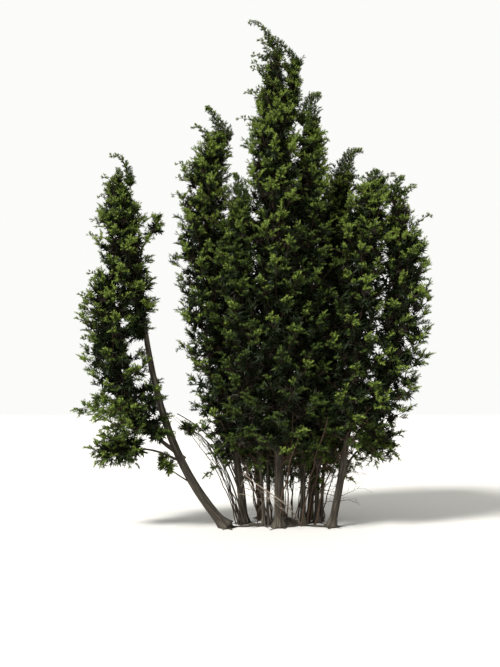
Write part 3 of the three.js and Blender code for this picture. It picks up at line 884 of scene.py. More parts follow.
# Lengths are in metres. shoots: shares of the twiglet at which they stand. scale: of the needles. The
# numbers in the names keep the order by which a point picks its kind.
sprayKinds = {
    "spray0": {"length": 0.09, "needles": 22, "shoots": (0.3, 0.6), "shootNeedles": 8, "scale": 1.0},
    "spray1": {"length": 0.078, "needles": 19, "shoots": (0.35, 0.62), "shootNeedles": 9, "scale": 1.08},
    "spray2long": {
        "length": 0.135, "needles": 28, "shoots": (0.25, 0.45, 0.66), "shootNeedles": 7, "scale": 0.95,
    },
    "spray3short": {"length": 0.062, "needles": 18, "shoots": (0.45,), "shootNeedles": 8, "scale": 1.0},
    "spray4inner": {"length": 0.08, "needles": 15, "shoots": (), "shootNeedles": 0, "scale": 2.5},
}
shortSpray = {"kind": 3, "growth": 1.35, "smallest": 0.5}  # takes a small spray's place
sprayReach = np.array([kind["length"] for kind in sprayKinds.values()]) + 12 * mm  # with its last needles


# A needle is one awl-shaped face: broad at its foot, with a sharp point.
def needleBlade(draw, root, heading, turn, angle, scale):
    side = unit(np.cross(heading, [0.3, 0.9, 0.1]))
    outward = side * math.cos(turn) + np.cross(heading, side) * math.sin(turn)
    direction = unit(heading * math.cos(math.radians(angle)) + outward * math.sin(math.radians(angle)))
    across = unit(np.cross(direction, heading) + 0.5 * heading * draw.normal())
    least, more = spraySizes["needleLengths"]
    length = spraySizes["needleLength"] * scale * (least + more * draw.random())
    width = spraySizes["needleWidth"] * scale
    return [root + across * width / 2, root + direction * length, root - across * width / 2]


# The twiglet or shoot that needles stand on: two narrow faces side by side, green like them.
def shootBlades(start, end, bend):
    across = unit(np.cross(end - start, [0.4, 0.9, 0.2])) * spraySizes["shootWidth"]
    middle = mix(start, end, spraySizes["widestAt"]) + bend
    return [[start, middle + across / 2, end], [start, end, middle - across / 2]]


# A place on a twiglet and its heading there.
def archAt(kind, place):
    nod = spraySizes["arch"] * kind["length"]
    point = np.array([nod * (0.5 * place - place ** 3), 0, kind["length"] * place])
    return point, unit(np.array([nod * (0.5 - 3 * place ** 2), 0, kind["length"]]))


def newMesh(name, vertices, edges, faces):
    mesh = bpy.data.meshes.new(name)
    mesh.from_pydata(vertices, edges, faces)
    return mesh


def sprayMesh(name, kind):
    draw = np.random.default_rng(sum(ord(letter) for letter in name))  # its own for each kind
    blades, young = [], []
    for i in range(kind["needles"]):
        share = (i + 0.5) / kind["needles"]
        point, heading = archAt(kind, mix(*spraySizes["stretch"], share))
        angle = mix(*spraySizes["spread"], share ** 2)
        blades.append(needleBlade(draw, point, heading, i * goldenAngle, angle, kind["scale"]))
        young.append(share)
    forward, flat = spraySizes["shootHeading"]
    stretch = spraySizes["shoot"]
    for number, place in enumerate(kind["shoots"]):
        foot, heading = archAt(kind, place)
        turn = number * math.pi + spraySizes["shootTurn"] * draw.normal()
        outward = unit(np.array([math.sin(turn) * flat, math.cos(turn), 0]))
        heading = unit(heading * forward + outward)
        for i in range(kind["shootNeedles"]):
            share = (i + 0.5) / kind["shootNeedles"]
            root = foot + heading * stretch * (spraySizes["shootFoot"] + share) * kind["scale"]
            angle = mix(*spraySizes["spread"], share)
            blades.append(needleBlade(draw, root, heading, turn + i * goldenAngle, angle, kind["scale"]))
            young.append(share)
        end = foot + heading * stretch * spraySizes["shootLength"] * kind["scale"]
        blades += shootBlades(foot, end, 0)
        young += [0, 0]
    middle, tip = (archAt(kind, spraySizes[place])[0] for place in ("widestAt", "woodEnd"))
    blades += shootBlades(np.zeros(3), tip, middle - spraySizes["widestAt"] * tip)
    young += [0, 0]
    vertices = np.array(blades).reshape(-1, 3)
    faces = [(k, k + 1, k + 2) for k in range(0, len(vertices), 3)]
    mesh = newMesh(name, vertices.tolist(), [], faces)
    isYoung = (np.array(young) > spraySizes["youngFrom"]) & (name != "spray4inner")
    attribute = mesh.attributes.new("young", "FLOAT", "FACE")
    attribute.data.foreach_set("value", isYoung.astype(np.float32))
    return mesh


def sprayCollection():
    templates = bpy.data.collections.new("sprayTemplates")
    for name, kind in sprayKinds.items():
        templates.objects.link(bpy.data.objects.new(name, sprayMesh(name, kind)))
    return templates


def newTree(name, inputs):
    tree = bpy.data.node_groups.new(name, "GeometryNodeTree")
    tree.interface.new_socket("Geometry", in_out="INPUT", socket_type="NodeSocketGeometry")
    for socket, kind in inputs.items():
        tree.interface.new_socket(socket, in_out="INPUT", socket_type=kind)
    tree.interface.new_socket("Geometry", in_out="OUTPUT", socket_type="NodeSocketGeometry")
    return tree, tree.nodes.new("NodeGroupInput")


def named(tree, name, kind):
    node = addNode(tree, "GeometryNodeInputNamedAttribute", {"data_type": kind}, {"Name": name})
    return next(socket for socket in node.outputs if socket.enabled and socket.name == "Attribute")


# Puts a spray on every point, turned, sized and coloured by the point. Young needles are a colour lighter.
def sprayTree():
    colours = list(needleColours)
    tree, given = newTree("spraysOnPoints", {
        "Spray kinds": "NodeSocketCollection",
        **{colour: "NodeSocketMaterial" for colour in colours},
    })
    kinds = addNode(tree, "GeometryNodeCollectionInfo", {}, {
        "Collection": given.outputs["Spray kinds"],
        "Separate Children": True,
        "Reset Children": True,
    })
    turned = addNode(tree, "FunctionNodeAxesToRotation", {"primary_axis": "Z", "secondary_axis": "X"}, {
        "Primary Axis": named(tree, "heading", "FLOAT_VECTOR"),
        "Secondary Axis": named(tree, "face", "FLOAT_VECTOR"),
    })
    sprays = addNode(tree, "GeometryNodeInstanceOnPoints", {}, {
        "Points": given.outputs["Geometry"],
        "Instance": kinds.outputs["Instances"],
        "Pick Instance": True,
        "Instance Index": named(tree, "kind", "INT"),
        "Rotation": turned.outputs["Rotation"],
        "Scale": named(tree, "size", "FLOAT"),
    })
    shown = addNode(tree, "GeometryNodeRealizeInstances", {}, {"Geometry": sprays.outputs["Instances"]})
    lighter = addNode(tree, "ShaderNodeMath", {"operation": "SUBTRACT"}, {
        0: named(tree, "tone", "FLOAT"),
        1: named(tree, "young", "FLOAT"),
    })
    tone = addNode(tree, "ShaderNodeMath", {"operation": "MAXIMUM"}, {0: lighter.outputs["Value"], 1: 0.0})
    for number, colour in enumerate(colours):
        isTone = addNode(tree, "FunctionNodeCompare", {"operation": "EQUAL"}, {
            "A": tone.outputs["Value"],
            "B": float(number),
            "Epsilon": 0.1,
        })
        shown = addNode(tree, "GeometryNodeSetMaterial", {}, {
            "Geometry": shown.outputs["Geometry"],
            "Selection": isTone.outputs["Result"],
            "Material": given.outputs[colour],
        })
    addNode(tree, "NodeGroupOutput", {}, {"Geometry": shown.outputs["Geometry"]})
    return tree


# Turns chains of edges into tapering twigs.
def twigTree():
    tree, given = newTree("twigsOnEdges", {"Sides": "NodeSocketInt", "Wood": "NodeSocketMaterial"})
    chains = addNode(tree, "GeometryNodeMeshToCurve", {}, {"Mesh": given.outputs["Geometry"]})
    ring = addNode(tree, "GeometryNodeCurvePrimitiveCircle", {}, {
        "Resolution": given.outputs["Sides"],
        "Radius": 1.0,
    })
    tube = addNode(tree, "GeometryNodeCurveToMesh", {}, {
        "Curve": chains.outputs["Curve"],
        "Profile Curve": ring.outputs["Curve"],
        "Scale": named(tree, "thickness", "FLOAT"),
    })
    tube = addNode(tree, "GeometryNodeRealizeInstances", {}, {"Geometry": tube.outputs["Mesh"]})
    tube = addNode(tree, "GeometryNodeSetMaterial", {}, {
        "Geometry": tube.outputs["Geometry"],
        "Material": given.outputs["Wood"],
    })
    addNode(tree, "NodeGroupOutput", {}, {"Geometry": tube.outputs["Geometry"]})
    return tree


sprayTemplates = sprayCollection()
spraysOnPoints = sprayTree()
twigsOnEdges = twigTree()


def newPiece(name, mesh):
    piece = bpy.data.objects.new(name, mesh)
    bpy.context.collection.objects.link(piece)
    return piece


# Runs a tree on a mesh and keeps the result as a plain mesh.
def grownPiece(name, seedMesh, tree, settings):
    piece = newPiece(name, seedMesh)
    modifier = piece.modifiers.new("growth", "NODES")
    modifier.node_group = tree
    for item in tree.interface.items_tree:
        if item.name in settings:
            modifier[item.identifier] = settings[item.name]
    evaluated = piece.evaluated_get(bpy.context.evaluated_depsgraph_get())
    mesh = bpy.data.meshes.new_from_object(evaluated)
    piece.modifiers.remove(modifier)
    piece.data = mesh
    mesh.name = name
    bpy.data.meshes.remove(seedMesh)
    return piece


def addAttribute(mesh, name, kind, values):
    attribute = mesh.attributes.new(name, kind, "POINT")
    field = "vector" if kind == "FLOAT_VECTOR" else "value"
    attribute.data.foreach_set(field, np.ascontiguousarray(values).ravel())


def insideBox(tips):
    return (tips[:, 2] > foliage["lowestNeedle"]) & np.all((tips > boxLow) & (tips < boxHigh), axis=1)


# Short sprays with large needles where a crown is narrow.
def withShortSprays(sprays):
    small = (sprays["size"] < foliage["smallSpray"]) & (sprays["kind"] < innerSprays["kind"])
    kind = np.where(small, shortSpray["kind"], sprays["kind"])
    grown = np.maximum(sprays["size"] * shortSpray["growth"], shortSpray["smallest"])
    return {**sprays, "kind": kind, "size": np.where(small, grown, sprays["size"])}


def sprayTips(sprays):
    return sprays["root"] + sprays["heading"] * (sprays["size"] * sprayReach[sprays["kind"]])[:, None]


def chosen(sprays, isKept):
    return {key: values[isKept] for key, values in sprays.items()}


def joined(groups):
    return {key: np.concatenate([group[key] for group in groups]) for key in groups[0]}


# The main stem that a crown belongs to.
def stemOf(crown):
    return crown["from"] or next(name for name, limb in {**columns, **boughs}.items() if limb is crown)


# The share of its reach that a crown may fill, which falls over its top quarter.
def narrowing(crown, tips):
    if "pointed" not in crown:
        return np.ones(len(tips))
    return 1 - crown["pointed"] * np.clip(shareAt(crown, tips[:, 2]) * 4 - 3, 0, 1)


# The tone up to which a spray takes each colour, from the darkest. Past the last one it takes the fresh
# green, which is also painted light.
toneLimits = {"oldNeedles": -1.5, "paintedShadeInnerNeedles": -0.5, "shadedNeedles": 0.49, "grownNeedles": 0.82}


# A crown's plumes stay within its reach. The free sprays, of leaders and skirts, may stand past it.
def needlePiece(name, plumes, free, inside, crown):
    draw = np.random.default_rng(seeds["sprayTurns"])
    spill = foliage["spill"] / crown["reach"] if "reach" in crown else foliage["tuftSpill"]
    bareTo = crown.get("bareTo", 0)
    plumes, free, inside = (withShortSprays(group) for group in (plumes, free, inside))
    tips = sprayTips(plumes)
    depth = depthOf(crown, tips)
    allowed = (foliage["reachAllowed"] + spill) * narrowing(crown, tips)
    within = insideBox(tips) & (depth < allowed) & (tips[:, 2] > bareTo)
    within &= buriedBy(tips) < foliage["liveDepth"]
    nearest = np.min([depthOf(other, tips) for other in crowns if stemOf(other) != stemOf(crown)], axis=0)
    shaded = np.clip(1 - (nearest - depth) / foliage["valley"], 0, 1)
    plumes["tone"] = plumes["tone"] - foliage["valleyShade"] * shaded
    plumes = chosen(plumes, within)
    free = chosen(free, insideBox(sprayTips(free)))
    tips = sprayTips(inside)
    allowed = (foliage["innerReach"] + spill) * narrowing(crown, tips)
    within = insideBox(tips) & (depthOf(crown, tips) < allowed) & (tips[:, 2] > bareTo)
    inside = chosen(inside, within & (buriedBy(tips) < foliage["innerDepth"]))
    sprays = joined([plumes, free, inside])
    colours = list(needleColours)
    darker = [sprays["tone"] < limit for limit in toneLimits.values()]
    tone = np.select(darker, [colours.index(colour) for colour in toneLimits], 0)
    points = newMesh("points", sprays["root"].tolist(), [], [])
    addAttribute(points, "heading", "FLOAT_VECTOR", sprays["heading"])
    addAttribute(points, "face", "FLOAT_VECTOR", unit(up + 0.4 * draw.normal(size=sprays["root"].shape)))
    addAttribute(points, "size", "FLOAT", sprays["size"])
    addAttribute(points, "kind", "INT", sprays["kind"].astype(np.int32))
    addAttribute(points, "tone", "FLOAT", tone.astype(np.float32))
    settings = {"Spray kinds": sprayTemplates, **dict(zip(colours, needles))}
    return grownPiece(name, points, spraysOnPoints, settings)


# Twigs along paths. A group holds paths with equally many points, and the radii at them.
def twigPiece(name, groups, sides, material):
    vertices, edges, thickness = [], [], []
    count = 0
    for paths, radii in groups:
        number, length = paths.shape[:2]
        starts = count + np.arange(number)[:, None] * length + np.arange(length - 1)[None]
        edges.append(np.stack([starts, starts + 1], -1).reshape(-1, 2))
        vertices.append(paths.reshape(-1, 3))
        thickness.append(np.broadcast_to(radii, (number, length)).ravel())
        count += number * length
    mesh = newMesh("chains", np.concatenate(vertices).tolist(), np.concatenate(edges).tolist(), [])
    addAttribute(mesh, "thickness", "FLOAT", np.concatenate(thickness))
    return grownPiece(name, mesh, twigsOnEdges, {"Sides": sides, "Wood": material})


def placesOf(mesh):
    places = np.empty(len(mesh.vertices) * 3)
    mesh.vertices.foreach_get("co", places)
    return places.reshape(-1, 3)


def keepAboveGround(mesh, places):
    places[..., 2] = np.maximum(places[..., 2], 0)
    mesh.vertices.foreach_set("co", places.ravel())


def settle(piece, slot, *nodes):
    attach(piece, "root")
    if nodes:
        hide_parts(*nodes)


def dressColumn(name, number):
    column = columns[name]
    plumes, free, inside = growColumn(name, number)
    nodes = [f"{name}_foliage{level}" for level in growth["levels"][column["masses"]]]
    freeSprays = joined([part["sprays"] for part in free])
    leaves = needlePiece(f"{name}_needles", plumes["sprays"], freeSprays, inside, column)
    settle(leaves, "needles", *nodes)
    for kind, sides in (("boughs", 4), ("twigs", 3)):
        wood = twigPiece(f"{name}_{kind}", [part[kind] for part in (plumes, *free)], sides, twigBark)
        settle(wood, "bark", *nodes)
    print(name, "crown grown,", len(leaves.data.polygons), "faces of needles")


for number, name in enumerate(columns):
    dressColumn(name, number)


# The foliage at the ends of the bare boughs
tufts = {
    "outside": 0.8,  # its area, as a share of a cylinder's
    "reach": 0.75,  # how far out its boughs go, as a share of its own
    "arch": (0.04, 0.03),  # of its boughs, and of the middle one
    "innerSprays": 6,
    "plumeStart": 0.25,
    "fullSizeReach": 0.2,
    "smallest": 0.74,
    "toneChance": 0.15,
}


def tuftBows(bough):
    start, end = bough["tuftEnds"]
    length = np.linalg.norm(end - start)
    reach = bough["tuftReach"]
    count = max(2, round(2 * math.pi * reach * (length + reach) * tufts["outside"] / foliage["patch"]))
    share = (np.arange(count) + 0.5) / count
    turn = np.arange(count) * goldenAngle
    along = (end - start) / length
    level = unit(np.cross(up, along))
    outward = level * np.cos(turn)[:, None] + np.cross(along, level) * np.sin(turn)[:, None]
    out = reach * tufts["reach"] * np.sqrt(1 - (1.5 * share - 0.7) ** 2)
    root = start + (end - start) * (0.5 * share)[:, None]
    tip = start + (end - start) * share[:, None] + outward * out[:, None]
    outer, inner = tufts["arch"]
    bows = np.stack([root, mix(root, tip, 0.5) + along * outer, tip], 1)
    first = curvePoint(bough["line"], bough["leafyFrom"])
    last = mix(start, end, 1 - 0.1 / length)
    middle = np.stack([first, mix(start, end, 0.5) + up * inner, last])
    return np.concatenate([bows, middle[None]])


def dressTuft(name, number):
    bough = boughs[name]
    draw = np.random.default_rng(seeds["tufts"] + number)
    bows = tuftBows(bough)
    scale = np.full(len(bows), np.clip(bough["tuftReach"] / tufts["fullSizeReach"], tufts["smallest"], 1))
    tone = tufts["toneChance"] * draw.random(len(bows)) + bough["tone"]
    grown = growPlumes(draw, bows, foliage["plume"] * scale, foliage["twigs"], tufts["plumeStart"], tone,
                       scale)
    inside = growInside(draw, bows, tufts["innerSprays"], scale)
    none = {key: values[:0] for key, values in inside.items()}
    leaves = needlePiece(f"{name}_needles", grown["sprays"], none, inside, bough)
    node = f"{name}_foliage"
    settle(leaves, "needles", node)
    wood = twigPiece(f"{name}_twigs", [grown["boughs"], grown["twigs"]], 4, twigBark)
    settle(wood, "bark", node)


for number, name in enumerate(name for name in boughs if boughs[name]["tuft"] is not None):
    dressTuft(name, number)
print("tufts grown")


# Bark over the stems and boughs, with strips and flutes as relief.
barkRelief = {
    "ringStep": 28 * mm,  # along the stretch that shows
    "hiddenStep": 110 * mm,  # inside the foliage
    "showsAbove": 0.9,  # how far up into a crown the fine rings go, in metres
    "overlap": 20 * mm,  # of the left stem's two lengths
    "facetWidth": 13 * mm,
    "flute": 0.035,  # of the radius
    "strip": 2.2 * mm,
    "fullStripRadius": 25 * mm,  # on a thinner limb the strips are lower
    "stripPitch": 24 * mm,
    "rough": 0.35,  # of a strip's height
    "wander": 0.12,  # of the strips, in radians for each ring
    "twist": 0.5,  # of the grain, in radians for each metre
    "rootFlare": 0.9,
    "boughTaper": 0.45,
    "boughRings": 40,
}


# A tube along a line, with the bark's relief and its map in metres.
def limbMesh(name, line, shares, radii, seed):
    draw = np.random.default_rng(seed)
    sides = int(max(8, round(2 * math.pi * radii.max() / barkRelief["facetWidth"])))
    centre = curvePoint(line, shares)
    along = curveHeading(line, shares)
    side = unit(np.cross(np.array([0.1, 1.0, 0.0]), along))
    front = np.cross(along, side)
    travelled = np.concatenate([[0], np.cumsum(np.linalg.norm(np.diff(centre, axis=0), axis=1))])
    turn = np.arange(sides) * 2 * math.pi / sides
    strips = max(3, round(2 * math.pi * radii.max() / barkRelief["stripPitch"]))
    drift = np.cumsum(draw.normal(size=len(shares))) * barkRelief["wander"]
    angle = turn[None] + (drift * 0.35 + travelled * barkRelief["twist"])[:, None]
    flute = np.sin(3 * angle + draw.random() * 6) + 0.6 * np.sin(5 * angle + travelled[:, None] * 2.4)
    ridge = np.abs(np.sin(angle * strips / 2 + drift[:, None])) ** 0.7 - 0.5
    rough = draw.normal(size=(len(shares), sides)) * barkRelief["rough"]
    relief = barkRelief["strip"] * np.minimum(1, radii / barkRelief["fullStripRadius"])[:, None]
    radius = radii[:, None] * (1 + barkRelief["flute"] * flute) + relief * (ridge + rough)
    points = centre[:, None] + side[:, None] * (np.cos(turn)[None] * radius)[..., None]
    points = points + front[:, None] * (np.sin(turn)[None] * radius)[..., None]
    rings = len(shares)
    vertices = np.concatenate([points.reshape(-1, 3), centre[:1], centre[-1:]])
    vertices[:, 2] = np.maximum(vertices[:, 2], 0)
    faces, maps = [], []
    girth = 2 * math.pi * radii.max()
    for i in range(rings - 1):
        for j in range(sides):
            k = (j + 1) % sides
            faces.append((i * sides + j, i * sides + k, (i + 1) * sides + k, (i + 1) * sides + j))
            u0, u1 = j / sides * girth, (j + 1) / sides * girth
            maps += [(u0, travelled[i]), (u1, travelled[i]), (u1, travelled[i + 1]), (u0, travelled[i + 1])]
    for j in range(sides):
        k = (j + 1) % sides
        faces.append((k, j, rings * sides))
        faces.append(((rings - 1) * sides + j, (rings - 1) * sides + k, rings * sides + 1))
        maps += [(0, 0)] * 6
    mesh = newMesh(name, vertices.tolist(), [], faces)
    mesh.uv_layers.new(name="limbMap").data.foreach_set("uv", np.array(maps, float).ravel())
    mesh.shade_smooth()
    mesh.materials.append(bark)
    return mesh


def stemRadius(column, share):
    tip = growth["tipRadius"]
    return tip + (column["girth"] - tip) * (1 - share) ** growth["stemTaper"]


# Limbs widen where they meet the ground.
def flared(radii, heights):
    below = np.clip(1 - heights / growth["collarHeight"], 0, 1)
    return radii * (1 + barkRelief["rootFlare"] * below ** 2)


def stemPieces():
    for number, (name, column) in enumerate(columns.items()):
        low, top = column["line"][0][2], column["line"][3][2]
        shows = min(top, column["lowest"] + barkRelief["showsAbove"])
        stretches = {f"{name}_stem": (low, top)}
        if name == "left":
            bend = growth["leftBendHeight"]
            stretches = {
                "left_stem_leaning": (low, bend),
                "left_stem_upright": (bend - barkRelief["overlap"], top),
            }
            shows = top
        for node, (start, end) in stretches.items():
            fine = np.arange(start, min(shows, end), barkRelief["ringStep"])
            heights = np.append(fine, np.arange(max(shows, start), end, barkRelief["hiddenStep"]))
            heights = np.append(heights, end)
            shares = shareAtHeight(column["line"], heights)
            radii = stemRadius(column, shares)
            if not column["from"]:
                radii = flared(radii, heights)
            mesh = limbMesh(node, column["line"], shares, radii, seeds["stems"] + number)
            settle(newPiece(f"{node}_bark", mesh), "bark", node)


def boughPieces():
    for number, (name, bough) in enumerate(boughs.items()):
        shares = np.linspace(bough["woodFrom"], 1, barkRelief["boughRings"])
        radii = bough["radius"] * (1 - barkRelief["boughTaper"] * shares)
        if not bough["from"]:
            radii = flared(radii, curvePoint(bough["line"], shares)[:, 2])
        mesh = limbMesh(name, bough["line"], shares, radii, seeds["boughs"] + number)
        if name == "crossing_dead_whip":
            mesh.materials[0] = deadWood
        settle(newPiece(f"{name}_bark", mesh), "bark", name)


stemPieces()
boughPieces()
print("stems and boughs barked")


# The root crown: a low stool, wavy strands out to the stems' feet and short roots that dive into the
# ground, all grown together.
rootCrown = {
    "middle": (60 * mm, 190 * mm, 0),
    "stool": (230 * mm, 120 * mm, 70 * mm),  # lower radius, upper radius, height
    "strand": 34 * mm,
    "strandSway": 38 * mm,
    "strandPath": (0, 0.3, 0.6, 0.9),  # shares of the way from a stem's foot to the middle
    "collar": (1.75, 0.9),  # radii at a stem's foot and above it, as shares of the stem's
    "collarHeight": 0.1,
    "roots": 5,
    "rootLength": 150 * mm,  # past the stem's own radius
    "rootTip": 11 * mm,
    "buried": 20 * mm,  # all below the ground is pressed flat onto it
    "grain": 10 * mm,
    "softening": 6,
    "ridges": 2.5 * mm,
    "ridgeCount": 37,
}


def coneBetween(vertices, faces, start, end, startRadius, endRadius, sides=12):
    first = len(vertices)
    along = unit(end - start)
    side = unit(np.cross(along, [0.2, 0.3, 1.0] if abs(along[2]) < 0.8 else [1.0, 0, 0]))
    front = np.cross(along, side)
    for centre, radius in ((start, startRadius), (end, endRadius)):
        for i in range(sides):
            turn = 2 * math.pi * i / sides
            vertices.append(centre + radius * (side * math.cos(turn) + front * math.sin(turn)))
    faces.append([first + i for i in range(sides)][::-1])
    faces.append([first + sides + i for i in range(sides)])
    for i in range(sides):
        k = (i + 1) % sides
        faces.append([first + i, first + k, first + sides + k, first + sides + i])


def rootCrownPiece():
    middle = np.array(rootCrown["middle"])
    buried = up * rootCrown["buried"]
    vertices, faces = [], []
    low, high, height = rootCrown["stool"]
    coneBetween(vertices, faces, middle - buried, middle + up * height, low, high, 20)
    draw = np.random.default_rng(seeds["rootCrown"])
    for column in columns.values():
        if column["from"]:
            continue
        foot, girth = column["line"][0], column["girth"]
        collar = stemAt(column, rootCrown["collarHeight"])
        wide, narrow = rootCrown["collar"]
        coneBetween(vertices, faces, foot - buried, collar, girth * wide, girth * narrow)
        inward = unit(middle - foot)
        across = np.cross(up, inward)
        for strand in (-1, 1):
            radius = rootCrown["strand"] * (0.8 + 0.4 * draw.random())
            path = [mix(foot, middle, share) - up * 0.6 * radius for share in rootCrown["strandPath"]]
            path = [point + across * strand * rootCrown["strandSway"] * draw.normal() for point in path]
            for start, end in zip(path, path[1:]):
                coneBetween(vertices, faces, start, end, radius, radius)
        for number in range(rootCrown["roots"]):
            turn = 2 * math.pi * (number + 0.7 * draw.random()) / rootCrown["roots"]
            outward = np.array([math.cos(turn), math.sin(turn), 0])
            length = girth + rootCrown["rootLength"] * (0.5 + 0.7 * draw.random())
            start, end = foot + outward * girth * 0.4, foot + outward * length - buried
            coneBetween(vertices, faces, start, end, girth * 0.8, rootCrown["rootTip"])
    piece = newPiece("root_crown_bark", newMesh("root_crown", [tuple(v) for v in vertices], [], faces))
    remesh = piece.modifiers.new("grown together", "REMESH")
    remesh.mode = "VOXEL"
    remesh.voxel_size = rootCrown["grain"]
    soften = piece.modifiers.new("soften", "SMOOTH")
    soften.iterations = rootCrown["softening"]
    result = bpy.data.meshes.new_from_object(piece.evaluated_get(bpy.context.evaluated_depsgraph_get()))
    piece.modifiers.clear()
    piece.data = result
    places = placesOf(result)
    around = np.arctan2(places[:, 1] - middle[1], places[:, 0] - middle[0])
    out = np.hypot(places[:, 0] - middle[0], places[:, 1] - middle[1])
    ridges = rootCrown["ridges"] * np.sin(around * rootCrown["ridgeCount"] + 9 * np.sin(out * 11))
    places[:, 2] += ridges * np.clip(places[:, 2] / 0.03, 0, 1)
    keepAboveGround(result, places)
    corners = np.empty(len(result.loops), np.int32)
    result.loops.foreach_get("vertex_index", corners)
    limbMap = np.stack([around * 0.25, out], -1)[corners]
    result.uv_layers.new(name="limbMap").data.foreach_set("uv", limbMap.ravel())
    result.materials.clear()
    result.materials.append(bark)
    result.shade_smooth()
    settle(piece, "bark", "root_crown")


rootCrownPiece()
print("root crown grown")


# Dead twigs that stay on the bare lower stems: crooked, thin and drooping at the ends. Most are dark, a
# colour that is partly painted shade for the thicket between the stems, some have lost their bark, and
# those under the right-hand crown still hold their rusty bark. over: how far past the lowest bough they
# stand, in metres. stems: None is all that reach the ground.
deadTwigs = {
    "lengths": (0.16, 0.46),
    "lowest": 0.22,
    "clusters": 6,
    "clusterHeight": 0.05,
    "rightwards": (-1.2, 1.2),  # azimuths of the twigs under the right-hand crown
    "slope": (-0.3, 1.6),  # the least and what chance may add
    "steps": 6,
    "droop": 0.3,
    "crooked": 0.05,
    "thickness": 3.4 * mm,
    "taper": (1.0, 0.35),
    "sideTwigs": 4,
    "sideLength": 0.4,
    "sideTaper": (0.5, 0.38, 0.25),
    "aboveGround": 20 * mm,
    "kinds": {
        "dead_twigs": {"perStem": 7, "over": 0.7, "stems": None, "colour": "#857a6c"},
        # partly painted shade: the dark ones stand for the deep shade among the stems
        "dark_dead_twigs": {"perStem": 20, "over": 0.9, "stems": None, "colour": "#342b25"},
        "rusty_dead_twigs": {
            "perStem": 15, "over": 0.35, "stems": ("right", "dark", "back_right"), "colour": "#593a28",
        },
    },
}


def deadTwigPiece(name, kind, seed):
    draw = np.random.default_rng(seed)
    steps = np.linspace(0, 1, deadTwigs["steps"])
    droop = deadTwigs["droop"]
    level, steeper = deadTwigs["slope"]
    main, fine = [], []
    for stem, column in columns.items():
        if column["from"] or column["lowest"] > 2 or (kind["stems"] and stem not in kind["stems"]):
            continue
        highest = column["lowest"] + kind["over"]
        clusters = mix(deadTwigs["lowest"], highest, draw.random(deadTwigs["clusters"]))
        count = kind["perStem"]
        height = draw.choice(clusters, count) + deadTwigs["clusterHeight"] * draw.random(count)
        azimuth = draw.random(count) * 2 * math.pi
        if kind["stems"]:
            azimuth = mix(*deadTwigs["rightwards"], draw.random(count))
        slope = level + steeper * draw.random(count)
        outward = np.stack([np.cos(azimuth), np.sin(azimuth), slope], -1)
        length = mix(*deadTwigs["lengths"], draw.random(count))[:, None]
        path = stemAt(column, height)[:, None] + (outward * length)[:, None] * steps[None, :, None]
        path[..., 2] -= droop * length * steps[None] ** 2
        bends = np.cumsum(draw.normal(size=path[:, 1:].shape), axis=1)
        path[:, 1:] += bends * deadTwigs["crooked"] * length[:, None]
        main.append(path)
        for k in range(deadTwigs["sideTwigs"]):
            start = path[:, 1 + k]
            away = unit(draw.normal(size=start.shape) + outward)
            reach = length * deadTwigs["sideLength"]
            end = start + away * reach - up * reach * droop
            fine.append(np.stack([start, start + away * reach * 0.5, end], 1))
    groups = [
        (np.concatenate(main), mix(*deadTwigs["taper"], steps) * deadTwigs["thickness"]),
        (np.concatenate(fine), np.array(deadTwigs["sideTaper"]) * deadTwigs["thickness"]),
    ]
    for paths, _ in groups:
        paths[..., 2] = np.maximum(paths[..., 2], deadTwigs["aboveGround"])
    wood = plainMaterial(name + "Wood", kind["colour"], 0.95, 1.4)
    settle(twigPiece(name, groups, 4, wood), "bark")


for number, (name, kind) in enumerate(deadTwigs["kinds"].items()):
    deadTwigPiece(name, kind, seeds["deadTwigs"] + number)
print("dead twigs grown")


# Bare dark whips that arch from the clump's left foot over towards the leaning stem
bareWhips = {
    "count": 7,
    "line": [[-455, 150, 0], [-615, 100, 600], [-850, 90, 1110], [-1320, 60, 1300]],
    "astray": (0.04, 0.05, 0.07, 0.08),  # at each point of the line, in metres
    "reach": (0.65, 1.0),  # shares of the line at which they end
    "rings": 18,
    "crooked": 7 * mm,
    "radius": (6 * mm, 10 * mm),
    "taper": (1.0, 0.3),
    "sideTwigsAt": (8, 11, 14),  # rings
    "sideHeading": (-0.8, 0, 0.6),
    "sideArch": 10 * mm,
    "sideLength": (0.1, 0.26),
    "sideRadius": (2.6 * mm, 1.9 * mm, 1.1 * mm),
    "colour": "#2f2720",
}


def bareWhipPiece():
    draw = np.random.default_rng(seeds["whips"])
    count = bareWhips["count"]
    astray = draw.normal(size=(4, count, 3)) * np.array(bareWhips["astray"])[:, None, None]
    line = np.array(bareWhips["line"])[:, None] * mm + astray * [1, 1, 0.6]
    ends = mix(*bareWhips["reach"], draw.random(count))
    steps = np.linspace(0, 1, bareWhips["rings"])
    path = curvePoint(line[:, :, None], ends[:, None] * steps)
    path[:, 1:] += bareWhips["crooked"] * draw.normal(size=path[:, 1:].shape)
    path[..., 2] = np.maximum(path[..., 2], 0)
    radii = mix(*bareWhips["radius"], draw.random((count, 1))) * mix(*bareWhips["taper"], steps)
    twigs = []
    for ring in bareWhips["sideTwigsAt"]:
        start = path[:, ring]
        away = unit(draw.normal(size=start.shape) + bareWhips["sideHeading"])
        away = away * mix(*bareWhips["sideLength"], draw.random((count, 1)))
        middle = start + away * 0.5 + up * bareWhips["sideArch"]
        twigs.append(np.stack([start, middle, start + away], 1))
    wood = plainMaterial("whipWood", bareWhips["colour"], 0.95, 1.35)
    groups = [(path, radii), (np.concatenate(twigs), np.array(bareWhips["sideRadius"]))]
    piece = twigPiece("bare_whips", groups, 5, wood)
    keepAboveGround(piece.data, placesOf(piece.data))
    settle(piece, "bark")


bareWhipPiece()
print("bare whips grown")


